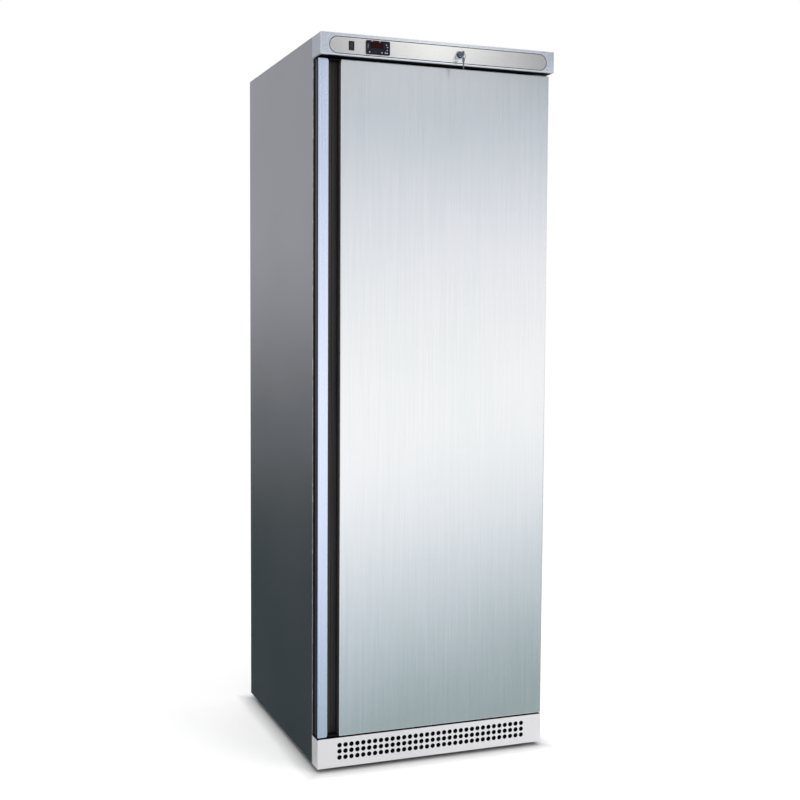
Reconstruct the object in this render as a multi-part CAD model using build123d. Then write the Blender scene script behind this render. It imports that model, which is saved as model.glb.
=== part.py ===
from build123d import *
import math
import os

# Upright commercial refrigerator with one solid door, hung on the right.
# X runs to the right, Y to the back and Z up. Millimetres and degrees.
# The origin is on the floor, at the centre of the outline.

# Flat sides of the large turned forms
turned_sides = 24

# Cabinet
cabinet_width = 600.0
cabinet_depth = 611.0
overall_height = 1756.0
floor_gap = 10.0
sheet = 1.0
side_wall = 45.0
back_wall = 55.0
base_insulation = 47.0
liner_wall = 2.0
liner_corner = 12.0
steel_lap = 12.0
bay_height = 330.0
bay_depth = 230.0
bay_insulation = 45.0

# Door, with its gaps
door_thickness = 33.5
gasket_gap = 12.0
mouth_inset = 45.0
running_gap = 0.3
hinge_plate = 2.5
bush_flange = 1.2
kickplate_clearance = 0.5
skin_corner = 3.0
dyke_depth = 30.0
dyke_clearance = 11.0
dyke_taper = 8.0
gasket_inset = 14.5
gasket_width = 18.0

# Full-height grip on the door's left edge
grip_width = 24.4
grip_thickness = 2.0
grip_lip = 4.0
grip_corner = 5.0
recess_edge = 54.5
recess_depth = 23.5
channel_wall = 3.0
channel_lining = 2.0
channel_step = 2.5
channel_band_start = 8.5
channel_band_width = 14.0
channel_ribs = 3
channel_rib_pitch = 10.0
channel_rib = 1.0
cap_thickness = 3.0

# Fascia over the door
fascia_height = 52.5
fascia_reach = 22.0
fascia_overhang = 2.0
fascia_wall = 3.0
fascia_base_thickness = 2.0
inlay_end_gap = 19.0
inlay_height = 40.0
inlay_thickness = 1.4
inlay_groove = 1.5
inlay_margin = 4.0

# Switch and controller, measured from the cabinet's left side, and lock, from its middle
switch_inset = 73.0
switch_width = 13.0
switch_height = 21.0
switch_rim = 1.5
rocker_radius = 8.2
rocker_width = 9.4
rocker_angle = 10.0
rocker_sink = 3.0
rocker_depth = 3.0
controller_inset = 138.0
controller_width = 59.0
controller_height = 32.0
controller_rim = 3.0
controller_body_depth = 38.0
window_width = 33.0
window_height = 15.0
window_depth = 1.0
button_count = 4
button_width = 8.0
button_height = 4.0
button_travel = 0.5
lock_x = 46.6
lock_flange_radius = 10.5
lock_radius = 9.0
plug_radius = 7.5
lock_rim = 2.0
cam_setback = 29.5
cam_length = 36.0
cam_width = 8.0
cam_thickness = 2.0
cam_clearance = 1.7
bow_radius = 6.6
bow_offset = 2.4
bow_hole_radius = 2.1
bow_thickness = 2.0
key_reach = 30.0
blade_height = 6.5
ring_radius = 5.5
ring_wire = 0.6
ring_play = 0.5

# Hinges
hinge_inset_x = 13.0
hinge_inset_y = 19.5
pin_radius = 4.0
bush_radius = 7.0
bush_length = 18.0
fit_clearance = 0.08
bracket_width = 37.0
bracket_height = 34.0
bolt_radius = 5.5
bolt_head = 4.0
bolt_level = 20.0

# Kickplate with its grille
kickplate_height = 72.0
kickplate_wall = 2.5
kickplate_corner = 2.4
grille_columns = 33
grille_rows = 3
grille_pitch = 15.26
grille_hole_radius = 5.3
grille_hole_sides = 6
grille_rise = 38.5

# Base, feet and rollers
rail_thickness = 2.0
rail_height = 38.0
rail_flange = 40.0
cross_rail_depth = 50.0
cross_rail_height = 16.0
foot_setback = 25.0
foot_inset = 50.0
foot_radius = 18.0
foot_stem_radius = 5.0
foot_stem_length = 36.0
foot_boss_radius = 9.0
foot_boss_height = 28.0
roller_radius = 18.0
roller_width = 20.0
roller_setback = 60.0
axle_radius = 4.0
bracket_plate = 2.5

# Shelves and their ledges
shelf_count = 4
ledges_per_shelf = 2
ledge_pitch = 140.0
lowest_ledge = 23.0
ledge_width = 12.0
ledge_height = 8.0
shelf_rim = 6.0
shelf_back_gap = 74.0
shelf_setback = 42.0
shelf_side_gap = 4.0
shelf_corner = 10.0
shelf_wire_radius = 1.6
shelf_wire_pitch = 29.0
shelf_weld = 1.0
shelf_stop_height = 22.0

# Circulation fan and evaporator
fan_size = 140.0
fan_depth = 46.0
fan_bore = 58.0
fan_drop = 26.0
fan_arm = 4.0
fan_hub_radius = 17.0
fan_hub_length = 16.0
fan_blade_count = 5
fan_blade_reach = 53.0
fan_blade_pitch = 28.0
fan_blade_root = 14.0
fan_blade_chord = 28.0
fan_blade_sweep = 6.0
fan_blade_thickness = 1.8
fan_motor_radius = 20.0
fan_motor_length = 20.0
fan_shaft_radius = 2.5
guard_thickness = 2.5
guard_slots = 9
guard_slot_pitch = 12.0
guard_slot_height = 8.0
evaporator_width = 400.0
evaporator_thickness = 2.0
evaporator_standoff = 10.0
channel_height = 2.4
channel_width = 9.0
channel_passes = 6

# Refrigeration unit
compressor_x = -70.0
compressor_radius = 78.0
compressor_height = 165.0
compressor_flange = 4.0
compressor_seam = 90.0
dome_rise = 22.0
grommet_radius = 11.0
grommet_height = 10.0
leg_thickness = 3.0
leg_length = 190.0
leg_width = 130.0
relay_width = 46.0
relay_height = 70.0
relay_depth = 60.0
relay_corner = 5.0
tray_length = 170.0
tray_width = 130.0
tray_height = 34.0
tray_wall = 2.0
tray_corner = 10.0
drain_radius = 6.0
drain_bore = 4.0
drain_setback = 85.0
drain_dip = 10.0
condenser_width = 470.0
condenser_passes = 12
condenser_pitch = 84.0
condenser_bottom = 470.0
condenser_standoff = 21.0
tube_size = 6.0
wire_size = 2.0
wires_per_side = 12
clip_width = 14.0
clip_height = 18.0
drier_radius = 9.0
drier_length = 80.0
gland_radius = 8.0
gland_length = 22.0

# Places that follow from the sizes above
fascia_front_reach = fascia_reach + door_thickness + gasket_gap
condenser_reach = condenser_standoff + drier_radius
front_y = (fascia_front_reach + key_reach - cabinet_depth - condenser_reach) / 2
back_y = front_y + cabinet_depth
door_back_y = front_y - gasket_gap
door_front_y = door_back_y - door_thickness
fascia_front_y = door_front_y - fascia_reach
half_width = cabinet_width / 2
switch_x = switch_inset - half_width
controller_x = controller_inset - half_width
inlay_length = cabinet_width - 2 * inlay_end_gap
kickplate_top = floor_gap + kickplate_height
door_gap = hinge_plate + bush_flange + running_gap
door_bottom = kickplate_top + kickplate_clearance + door_gap
fascia_bottom = overall_height - fascia_height
door_top = fascia_bottom - door_gap
mouth_half = half_width - mouth_inset
mouth_bottom = door_bottom + mouth_inset
mouth_top = door_top - mouth_inset
liner_back_y = back_y - back_wall
shelf_depth = liner_back_y - shelf_back_gap - front_y - shelf_setback
foam_bottom = mouth_bottom - base_insulation
bay_front_y = back_y - bay_depth
step_top = bay_height + bay_insulation
step_front_y = bay_front_y - bay_insulation
recess_x = -half_width + recess_edge
inlay_z = fascia_bottom + inlay_margin + inlay_height / 2
pin_x = half_width - hinge_inset_x
pin_y = door_front_y + hinge_inset_y
rail_top = floor_gap + rail_height
key_pivot_y = fascia_front_y - key_reach + bow_radius


def block(x, y, z):
    """A box between two limits on each axis."""
    size = [limits[1] - limits[0] for limits in (x, y, z)]
    centre = [(limits[1] + limits[0]) / 2 for limits in (x, y, z)]
    return Pos(*centre) * Box(*size)


def prism(points, axis, low, high):
    """Extrude an outline from low to high; its points are pairs on the two other axes."""
    place = {
        "x": lambda u, v: (low, u, v),
        "y": lambda u, v: (u, low, v),
        "z": lambda u, v: (u, v, low),
    }[axis]
    way = {"x": (1, 0, 0), "y": (0, 1, 0), "z": (0, 0, 1)}[axis]
    outline = Wire.make_polygon([place(*point) for point in points], close=True)
    return extrude(Face(outline), high - low, dir=way)


def rod(axis, centre, radius, low, high):
    """A round bar from low to high; its centre is a pair on the two other axes."""
    turn = {"x": Rot(0, 90, 0), "y": Rot(90, 0, 0), "z": Rot(0, 0, 0)}[axis]
    middle = (low + high) / 2
    place = {
        "x": (middle, centre[0], centre[1]),
        "y": (centre[0], middle, centre[1]),
        "z": (centre[0], centre[1], middle),
    }[axis]
    return Pos(*place) * turn * Cylinder(radius, high - low)


def bar(axis, centre, radius, low, high, sides=8):
    """A straight-sided bar from low to high, measured across its flats."""
    turn = {"x": Rot(0, 90, 0), "y": Rot(90, 0, 0), "z": Rot(0, 0, 0)}[axis]
    place = {
        "x": (low, centre[0], centre[1]),
        "y": (centre[0], high, centre[1]),
        "z": (centre[0], centre[1], low),
    }[axis]
    section = RegularPolygon(radius, sides, major_radius=False)
    return Pos(*place) * turn * extrude(section, high - low)


def drum(centre, radius, low, high, bevel, sides):
    """An upright bar with both of its rims cut off."""
    body = bar("z", centre, radius, low, high, sides)
    levels = body.edges().group_by(Axis.Z)
    return chamfer([*levels[0], *levels[-1]], bevel)


def tube_along(points, size):
    """A six-sided tube with mitred bends through a list of points."""
    path = Polyline(*points)
    section = Plane(origin=path @ 0, z_dir=path % 0) * RegularPolygon(size / 2, 6, major_radius=False)
    return sweep(section, path=path, transition=Transition.RIGHT)


def both_sides(piece):
    """A piece and its mirror image across the middle of the cabinet."""
    return piece + mirror(piece, about=Plane.YZ)


def stadium(length, height, low, high):
    """A flat bar with half-round ends, on the middle of the fascia."""
    outline = Plane.XZ * Pos(0, inlay_z) * SlotOverall(length, height)
    return Pos(0, low, 0) * extrude(outline, high - low, dir=(0, 1, 0))


def cabinet_outline(inset):
    """Side view of the insulated body, with the notch of the machine bay."""
    return [
        (front_y + inset, foam_bottom + inset),
        (front_y + inset, overall_height - inset),
        (back_y - inset, overall_height - inset),
        (back_y - inset, bay_height + inset),
        (bay_front_y - inset, bay_height + inset),
        (bay_front_y - inset, foam_bottom + inset),
    ]


def liner_block(growth):
    """The storage space grown by a wall, with its step over the machine bay."""
    half = mouth_half + growth
    levels = (mouth_bottom - growth, mouth_top + growth)
    tall = block((-half, half), (front_y, liner_back_y + growth), levels)
    along = [edge for edge in tall.edges().filter_by(Axis.Y)]
    tall = fillet(along, liner_corner + growth)
    step = block(
        (-half, half),
        (step_front_y + growth, liner_back_y + growth),
        (mouth_bottom - growth, step_top - growth),
    )
    return tall - step


def cabinet_wrapper():
    """Folded outer sheet: both sides, the top and the frame that the gasket meets."""
    outer = block((-half_width, half_width), (front_y, back_y), (floor_gap, overall_height))
    inside = block(
        (-half_width + sheet, half_width - sheet),
        (front_y + sheet, back_y),
        (floor_gap, overall_height - sheet),
    )
    lap = mouth_half + steel_lap
    mouth = block((-lap, lap), (front_y, front_y + sheet), (mouth_bottom - steel_lap, mouth_top + steel_lap))
    foot = block(
        (-half_width + sheet, half_width - sheet),
        (front_y, front_y + sheet),
        (floor_gap, foam_bottom),
    )
    return outer - inside - mouth - foot


def back_panel():
    """Zinc sheet down the back, over the machine bay and under the storage space."""
    half = half_width - sheet
    shell = prism(cabinet_outline(0), "x", -half, half) - prism(cabinet_outline(sheet), "x", -half, half)
    front = block((-half, half), (front_y, front_y + sheet), (foam_bottom, overall_height))
    top = block((-half, half), (front_y, back_y), (overall_height - sheet, overall_height))
    return shell - front - top - drain_hole(drain_radius)


def drain_hole(radius):
    """The line of the drain, from the step down into the evaporation tray."""
    tray_top = leg_top() + compressor_height + tray_height
    return bar("z", (compressor_x, back_y - drain_setback), radius, tray_top - drain_dip, step_top)


def foam_blocks():
    """Limits of the blocks that the foam is laid in: walls, ceiling, floor, step and corner coves."""
    outer = half_width - sheet
    inner = mouth_half + liner_wall
    cove = liner_corner + liner_wall
    depth = (front_y, back_y)
    hollow = (front_y, step_front_y + liner_wall)
    wall_back = liner_back_y + liner_wall
    notch = bay_height + sheet
    floor_top = mouth_bottom - liner_wall
    ceiling = mouth_top + liner_wall
    blocks = [
        ((-inner, inner), depth, (ceiling, overall_height)),
        ((-inner, inner), (wall_back, back_y), (notch, ceiling)),
        ((-inner, inner), (hollow[1], wall_back), (notch, step_top)),
        ((-inner, inner), (hollow[1], bay_front_y), (foam_bottom, notch)),
        ((-inner, inner), hollow, (foam_bottom, floor_top)),
    ]
    for low, high in ((-outer, -inner), (inner, outer)):
        blocks.append(((low, high), depth, (notch, overall_height)))
        blocks.append(((low, high), (front_y, bay_front_y), (foam_bottom, notch)))
    for low, high in ((-inner, cove - inner), (inner - cove, inner)):
        blocks.append(((low, high), (front_y, wall_back), (ceiling - cove, ceiling)))
        blocks.append(((low, high), hollow, (floor_top, floor_top + cove)))
    return blocks


def foam_insulation():
    """Foam between the outer sheets and the liner, laid in blocks that meet without a gap."""
    half = half_width - sheet
    flange_half = mouth_half + steel_lap
    flange = block(
        (-flange_half, flange_half),
        (front_y, front_y + liner_wall),
        (mouth_bottom - steel_lap, mouth_top + steel_lap),
    )
    foam = prism(cabinet_outline(sheet), "x", -half, half) - liner_block(liner_wall)
    foam = foam - flange - drain_hole(drain_radius)
    return Compound([foam & block(*limits) for limits in foam_blocks()])


def ledge_pair(level):
    """Two moulded ledges, one on each side wall, at one shelf level."""
    top = step_top + lowest_ledge + level * ledge_pitch
    outline = [
        (-mouth_half, top),
        (-mouth_half + ledge_width, top),
        (-mouth_half + ledge_width, top - ledge_height / 3),
        (-mouth_half, top - ledge_height),
    ]
    return both_sides(prism(outline, "y", front_y + shelf_setback, front_y + shelf_setback + shelf_depth))


def inner_liner():
    """Moulded liner with a flange round its mouth and ledges for the shelves."""
    flange_half = mouth_half + steel_lap
    flange = block(
        (-flange_half, flange_half),
        (front_y, front_y + liner_wall),
        (mouth_bottom - steel_lap, mouth_top + steel_lap),
    )
    liner = liner_block(liner_wall) + flange - liner_block(0)
    for level in range(shelf_count * ledges_per_shelf):
        liner += ledge_pair(level)
    return liner - drain_hole(drain_radius)


def base_frame():
    """Welded side rails, front cross rail with foot bosses, and the compressor plate."""
    outer = half_width - sheet
    inner = outer - rail_thickness
    flange = outer - rail_flange
    rail = [
        (outer, floor_gap),
        (outer, rail_top),
        (flange, rail_top),
        (flange, rail_top - rail_thickness),
        (inner, rail_top - rail_thickness),
        (inner, floor_gap),
    ]
    frame = both_sides(prism(rail, "y", front_y, back_y))
    low = floor_gap + rail_thickness
    high = floor_gap + cross_rail_height
    far = front_y + cross_rail_depth
    cross_rail = [
        (front_y, floor_gap),
        (front_y, high),
        (front_y + rail_thickness, high),
        (front_y + rail_thickness, low),
        (far - rail_thickness, low),
        (far - rail_thickness, high),
        (far, high),
        (far, floor_gap),
    ]
    frame += prism(cross_rail, "x", -inner, inner)
    plate_lip = 2 * rail_thickness + tube_size
    plate = [
        (bay_front_y, rail_top - rail_thickness),
        (bay_front_y, rail_top),
        (back_y - rail_thickness, rail_top),
        (back_y - rail_thickness, rail_top + plate_lip),
        (back_y, rail_top + plate_lip),
        (back_y, rail_top - rail_thickness),
    ]
    frame += prism(plate, "x", -flange, flange)
    centre = (half_width - foot_inset, front_y + foot_setback)
    boss = bar("z", centre, foot_boss_radius, low, low + foot_boss_height)
    bore = bar("z", centre, foot_stem_radius + running_gap, floor_gap, low + foot_boss_height)
    return frame + both_sides(boss) - both_sides(bore)


def foot(side):
    """Screwed levelling foot with its round pad, fully in."""
    centre = (side * (half_width - foot_inset), front_y + foot_setback)
    pad = bar("z", centre, foot_radius, 0, floor_gap - running_gap, turned_sides)
    stem = bar("z", centre, foot_stem_radius, floor_gap - running_gap, floor_gap + foot_stem_length)
    return pad + stem


def roller_centre():
    """Place of the rollers' axle seen from the side."""
    return back_y - roller_setback, roller_radius


def roller_middle(side):
    """Middle of one roller across the cabinet."""
    return side * (half_width - sheet - rail_flange / 2 - rail_thickness)


def roller(side):
    """Hard plastic roller on its plain bore."""
    middle = roller_middle(side)
    limits = (middle - roller_width / 2, middle + roller_width / 2)
    wheel = bar("x", roller_centre(), roller_radius, *limits, turned_sides)
    return wheel - rod("x", roller_centre(), axle_radius + fit_clearance, *limits)


def roller_brackets():
    """Folded brackets under the side rails that hold the roller axles."""
    y, z = roller_centre()
    middle = roller_middle(1)
    inner = roller_width / 2 + sheet
    outer = inner + bracket_plate
    top = rail_top - rail_thickness
    fork = prism(
        [
            (middle - outer, z - 2 * axle_radius),
            (middle - outer, top),
            (middle + outer, top),
            (middle + outer, z - 2 * axle_radius),
            (middle + inner, z - 2 * axle_radius),
            (middle + inner, top - bracket_plate),
            (middle - inner, top - bracket_plate),
            (middle - inner, z - 2 * axle_radius),
        ],
        "y",
        y - 2 * axle_radius,
        y + 2 * axle_radius,
    )
    return both_sides(fork)


def roller_axles():
    """Plain steel axles of the two rollers, between the plates of their brackets."""
    reach = roller_width / 2 + sheet
    limits = (roller_middle(1) - reach, roller_middle(1) + reach)
    return both_sides(rod("x", roller_centre(), axle_radius, *limits))


def kickplate_grille():
    """White plinth with rows of round air holes, folded back at the sides and the top."""
    body = block((-half_width, half_width), (door_front_y, front_y), (floor_gap, kickplate_top))
    corners = body.edges().filter_by(Axis.Z).group_by(Axis.Y)[0]
    top_edge = body.edges().filter_by(Axis.X).group_by(Axis.Y)[0].sort_by(Axis.Z)[-1]
    body = fillet([*corners, top_edge], kickplate_corner)
    hollow = block(
        (-half_width + kickplate_wall, half_width - kickplate_wall),
        (door_front_y + kickplate_wall, front_y),
        (floor_gap, kickplate_top - kickplate_wall),
    )
    notch = block(
        (-half_width + kickplate_wall, half_width - kickplate_wall),
        (front_y - hinge_plate - 2 * kickplate_clearance, front_y),
        (floor_gap, kickplate_top),
    )
    hole = RegularPolygon(grille_hole_radius, grille_hole_sides, rotation=180 / grille_hole_sides)
    front = Pos(0, door_front_y, 0) * Plane.XZ.location * Pos(0, floor_gap + grille_rise)
    cutters = [
        extrude(front * place * hole, kickplate_wall, dir=(0, 1, 0))
        for place in GridLocations(grille_pitch, grille_pitch, grille_columns, grille_rows)
    ]
    return (body - hollow - notch) - cutters


def face_cutters(clearance):
    """Cut-outs in the fascia for the switch, the controller and the lock."""
    deep = (fascia_front_y, fascia_front_y + fascia_wall)
    switch_half = switch_width / 2 - switch_rim + clearance
    switch_rise = switch_height / 2 - switch_rim + clearance
    controller_half = controller_width / 2 - controller_rim + clearance
    controller_rise = controller_height / 2 - controller_rim + clearance
    cutters = block(
        (switch_x - switch_half, switch_x + switch_half),
        deep,
        (inlay_z - switch_rise, inlay_z + switch_rise),
    )
    cutters += block(
        (controller_x - controller_half, controller_x + controller_half),
        deep,
        (inlay_z - controller_rise, inlay_z + controller_rise),
    )
    return cutters + bar("y", (lock_x, inlay_z), lock_radius + clearance, *deep)


def fascia_housing():
    """Silver fascia shell: front, top and sides, open below and behind."""
    outer_half = half_width + fascia_overhang
    outer = block((-outer_half, outer_half), (fascia_front_y, front_y), (fascia_bottom, overall_height))
    outer = fillet(outer.edges().filter_by(Axis.Z).group_by(Axis.Y)[0], fascia_wall / 2)
    inside = block(
        (-outer_half + fascia_wall, outer_half - fascia_wall),
        (fascia_front_y + fascia_wall, front_y),
        (fascia_bottom, overall_height - fascia_wall),
    )
    pocket = stadium(inlay_length, inlay_height, fascia_front_y, fascia_front_y + inlay_thickness)
    return outer - inside - pocket - face_cutters(fit_clearance)


def fascia_base():
    """Black strip that closes the fascia below, with the slot for the lock's cam."""
    inner_half = half_width + fascia_overhang - fascia_wall
    strip = block(
        (-inner_half, inner_half),
        (fascia_front_y + fascia_wall, front_y - hinge_plate - running_gap),
        (fascia_bottom, fascia_bottom + fascia_base_thickness),
    )
    return strip - cam_slot(fascia_bottom, fascia_bottom + fascia_base_thickness)


def fascia_inlay():
    """Brushed band with half-round ends, set flush into the fascia."""
    band = stadium(
        inlay_length - 2 * inlay_groove,
        inlay_height - 2 * inlay_groove,
        fascia_front_y,
        fascia_front_y + inlay_thickness,
    )
    return band - face_cutters(fit_clearance)


def switch_frame():
    """Black frame of the mains switch, with its body behind the fascia."""
    half = switch_width / 2
    rise = switch_height / 2
    flange = block(
        (switch_x - half, switch_x + half),
        (fascia_front_y - switch_rim, fascia_front_y),
        (inlay_z - rise, inlay_z + rise),
    )
    body = block(
        (switch_x - half + switch_rim, switch_x + half - switch_rim),
        (fascia_front_y, fascia_front_y + controller_body_depth / 2),
        (inlay_z - rise + switch_rim, inlay_z + rise - switch_rim),
    )
    well = block(
        (switch_x - rocker_width / 2 - running_gap, switch_x + rocker_width / 2 + running_gap),
        (fascia_front_y - switch_rim, fascia_front_y + rocker_sink + rocker_depth + switch_rim),
        (inlay_z - rocker_radius - running_gap, inlay_z + rocker_radius + running_gap),
    )
    return flange + body - well


def power_rocker():
    """Two-faced rocker, resting with its lower half pressed in."""
    centre_face = rocker_sink - 1
    rise = rocker_radius * math.tan(math.radians(rocker_angle))
    outline = [
        (-rocker_depth, -rocker_radius),
        (centre_face + rise, -rocker_radius),
        (centre_face, 0),
        (centre_face + rise, rocker_radius),
        (-rocker_depth, rocker_radius),
    ]
    band = prism([(-u, v) for u, v in outline], "x", -rocker_width / 2, rocker_width / 2)
    drum = rod("x", (0, 0), rocker_radius, -rocker_width / 2, rocker_width / 2)
    pivot_y = fascia_front_y - switch_rim + rocker_sink
    return Pos(switch_x, pivot_y, inlay_z) * Rot(rocker_angle, 0, 0) * (band & drum)


def button_place(index):
    """Middle of one controller button, across the fascia."""
    spacing = (controller_width - 2 * controller_rim) / button_count
    return controller_x + (index - (button_count - 1) / 2) * spacing


def button_level():
    """Height of the row of controller buttons."""
    return inlay_z - controller_height / 2 + controller_rim + button_height / 2


def window_place():
    """Middle of the display window, across and up the fascia."""
    level = inlay_z + controller_height / 2 - controller_rim - window_height / 2
    return controller_x - controller_rim, level


def window_pocket(inset):
    """The space of the display window, drawn in by an inset."""
    x, z = window_place()
    half = window_width / 2 - inset
    rise = window_height / 2 - inset
    front = fascia_front_y - controller_rim
    return block((x - half, x + half), (front, front + window_depth), (z - rise, z + rise))


def controller_body():
    """Black housing of the temperature controller, with wells for its buttons."""
    half = controller_width / 2
    rise = controller_height / 2
    front = fascia_front_y - controller_rim
    flange = block(
        (controller_x - half, controller_x + half),
        (front, fascia_front_y),
        (inlay_z - rise, inlay_z + rise),
    )
    flange = chamfer(flange.faces().sort_by(Axis.Y)[0].edges(), controller_rim / 3)
    body = block(
        (controller_x - half + controller_rim, controller_x + half - controller_rim),
        (fascia_front_y, fascia_front_y + controller_body_depth),
        (inlay_z - rise + controller_rim, inlay_z + rise - controller_rim),
    )
    housing = flange + body - window_pocket(0)
    for index in range(button_count):
        housing -= button_block(index, running_gap, controller_rim)
    return housing


def button_block(index, growth, depth):
    """The space of one controller button, grown by a clearance."""
    x = button_place(index)
    z = button_level()
    half = button_width / 2 + growth
    rise = button_height / 2 + growth
    front = fascia_front_y - controller_rim
    return block((x - half, x + half), (front, front + depth), (z - rise, z + rise))


def controller_button(index):
    """One spring button of the controller, standing out by its travel."""
    return Pos(0, -button_travel, 0) * button_block(index, 0, controller_rim - running_gap)


def cam_slot(low, high):
    """The way of the lock's cam through a plate, from level to straight down."""
    drop = inlay_z - high
    reach = math.sqrt(cam_length**2 - drop**2)
    middle = fascia_front_y + cam_setback + cam_thickness / 2
    return block(
        (lock_x - cam_width, lock_x + reach + running_gap + 1),
        (middle - cam_thickness / 2 - cam_clearance, middle + cam_thickness / 2 + cam_clearance),
        (low, high),
    )


def lock_barrel():
    """Chrome barrel of the lock, with its flange on the fascia."""
    front = fascia_front_y - lock_rim
    back = fascia_front_y + cam_setback - running_gap
    barrel = bar("y", (lock_x, inlay_z), lock_flange_radius, front, fascia_front_y, turned_sides)
    barrel += bar("y", (lock_x, inlay_z), lock_radius, fascia_front_y, back)
    return barrel - rod("y", (lock_x, inlay_z), plug_radius + fit_clearance, front, back)


def keyway(growth):
    """The space of the key's blade in the plug."""
    half = bow_thickness / 2 + growth
    rise = blade_height / 2 + growth
    return block(
        (lock_x - half, lock_x + half),
        (fascia_front_y - lock_rim - running_gap, fascia_front_y + cam_setback - 4 * cam_thickness + growth),
        (inlay_z - rise, inlay_z + rise),
    )


def lock_plug():
    """Turning plug with its upright keyway."""
    front = fascia_front_y - lock_rim - running_gap
    plug = rod("y", (lock_x, inlay_z), plug_radius, front, fascia_front_y + cam_setback)
    return plug - keyway(fit_clearance)


def lock_cam():
    """Tongue that turns down through the fascia into the door's top."""
    half = cam_width / 2
    outline = [
        (-half, -half),
        (cam_length - half / 2, -half),
        (cam_length - running_gap, -half / 2),
        (cam_length - running_gap, half / 2),
        (cam_length - half / 2, half),
        (-half, half),
    ]
    start = fascia_front_y + cam_setback
    return prism([(lock_x + u, inlay_z + v) for u, v in outline], "y", start, start + cam_thickness)


def bow(centre_u, centre_v, hole_u, hole_v):
    """Round head of a key, flat across X, with its ring hole."""
    half = bow_thickness / 2
    head = bar("x", (centre_u, centre_v), bow_radius, lock_x - half, lock_x + half, turned_sides)
    return head - bar("x", (hole_u, hole_v), bow_hole_radius, lock_x - half, lock_x + half)


def door_key():
    """Key in the lock, its head upright in front of the fascia."""
    head = bow(key_pivot_y + bow_offset, inlay_z, key_pivot_y, inlay_z)
    face = fascia_front_y - lock_rim - running_gap
    shank = block(
        (lock_x - bow_thickness / 2, lock_x + bow_thickness / 2),
        (key_pivot_y + bow_offset + bow_radius / 2, face),
        (inlay_z - blade_height / 2, inlay_z + blade_height / 2),
    )
    return head + shank + keyway(0)


def ring_top():
    """Height where the ring's wire hangs in the upper key's hole."""
    return inlay_z - bow_hole_radius + ring_wire + ring_play


def key_ring():
    """Small wire ring that joins the two keys."""
    centre = (lock_x, ring_top() - ring_radius)
    limits = (key_pivot_y - ring_wire, key_pivot_y + ring_wire)
    outer = bar("y", centre, ring_radius + ring_wire, *limits, turned_sides)
    return outer - bar("y", centre, ring_radius - ring_wire, *limits, turned_sides)


def spare_hole_z():
    """Height of the hole in the spare key that hangs on the ring."""
    return ring_top() - 2 * ring_radius + ring_wire + ring_play - bow_hole_radius


def spare_key():
    """Spare key hanging on the ring, its blade clear above the door."""
    hole_z = spare_hole_z()
    centre_z = hole_z - bow_offset
    head = bow(key_pivot_y, centre_z, key_pivot_y, hole_z)
    half = blade_height / 2
    tip = door_top + 2 * running_gap
    blade = [
        (key_pivot_y - half, centre_z - bow_radius / 2),
        (key_pivot_y + half, centre_z - bow_radius / 2),
        (key_pivot_y + half, tip + half),
        (key_pivot_y, tip),
        (key_pivot_y - half, tip + half),
    ]
    return head + prism(blade, "x", lock_x - bow_thickness / 2, lock_x + bow_thickness / 2)


def hinge_bracket(plate_low, flange_low, flange_high):
    """Angle bracket: a tongue round the hinge pin and a flange on the cabinet's front."""
    x_high = half_width - kickplate_wall - running_gap
    x_low = x_high - bracket_width
    nose = pin_y - bush_radius - 3
    tongue = block((x_low, x_high), (nose, front_y), (plate_low, plate_low + hinge_plate))
    tongue = chamfer(tongue.edges().filter_by(Axis.Z).group_by(Axis.Y)[0], bush_radius)
    flange = block((x_low, x_high), (front_y - hinge_plate, front_y), (flange_low, flange_high))
    hole = rod("z", (pin_x, pin_y), pin_radius + fit_clearance, plate_low, plate_low + hinge_plate)
    return tongue + flange - hole


def top_plate_low():
    """Underside of the upper hinge plate."""
    return door_top + bush_flange + running_gap


def bottom_plate_low():
    """Underside of the lower hinge plate."""
    return door_bottom - bush_flange - running_gap - hinge_plate


def hinge_pins():
    """Steel pins that stand in the two hinge plates."""
    reach = bush_length - 2
    lower = rod("z", (pin_x, pin_y), pin_radius, bottom_plate_low(), door_bottom + reach)
    upper = rod("z", (pin_x, pin_y), pin_radius, door_top - reach, top_plate_low() + hinge_plate)
    return lower + upper


def hinge_bolts():
    """Hexagon heads of the bolts that hold the hinge brackets."""
    middle = half_width - kickplate_wall - running_gap - bracket_width / 2
    head = Plane.XZ * RegularPolygon(bolt_radius, 6)
    heads = []
    for plate, way in ((bottom_plate_low(), -1), (top_plate_low(), 1)):
        for offset in (-1, 1):
            level = plate + way * bolt_level
            place = Pos(middle + offset * bracket_width / 4, front_y - hinge_plate - bolt_head, level)
            heads.append(place * extrude(head, bolt_head, dir=(0, 1, 0)))
    return Compound(heads)


def bush_seat(growth):
    """The two places of the hinge bushes in the door, with a clearance."""
    radius = bush_radius + growth
    lower = bar("z", (pin_x, pin_y), radius, door_bottom, door_bottom + bush_length + growth)
    return lower + bar("z", (pin_x, pin_y), radius, door_top - bush_length - growth, door_top)


def hinge_bushes():
    """Nylon bushes in the door's corners, with thin flanges towards the hinge plates."""
    bushes = bush_seat(0)
    bushes += bar("z", (pin_x, pin_y), bush_radius + sheet, door_bottom - bush_flange, door_bottom)
    bushes += bar("z", (pin_x, pin_y), bush_radius + sheet, door_top, door_top + bush_flange)
    bore = pin_radius + fit_clearance
    bushes -= rod("z", (pin_x, pin_y), bore, door_bottom - bush_flange, door_bottom + bush_length)
    return bushes - rod("z", (pin_x, pin_y), bore, door_top - bush_length, door_top + bush_flange)


def door_cam_slot():
    """Slot in the door's top that takes the lock's cam."""
    depth = cam_length - (inlay_z - door_top) + 2
    return cam_slot(door_top - depth, door_top)


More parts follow.
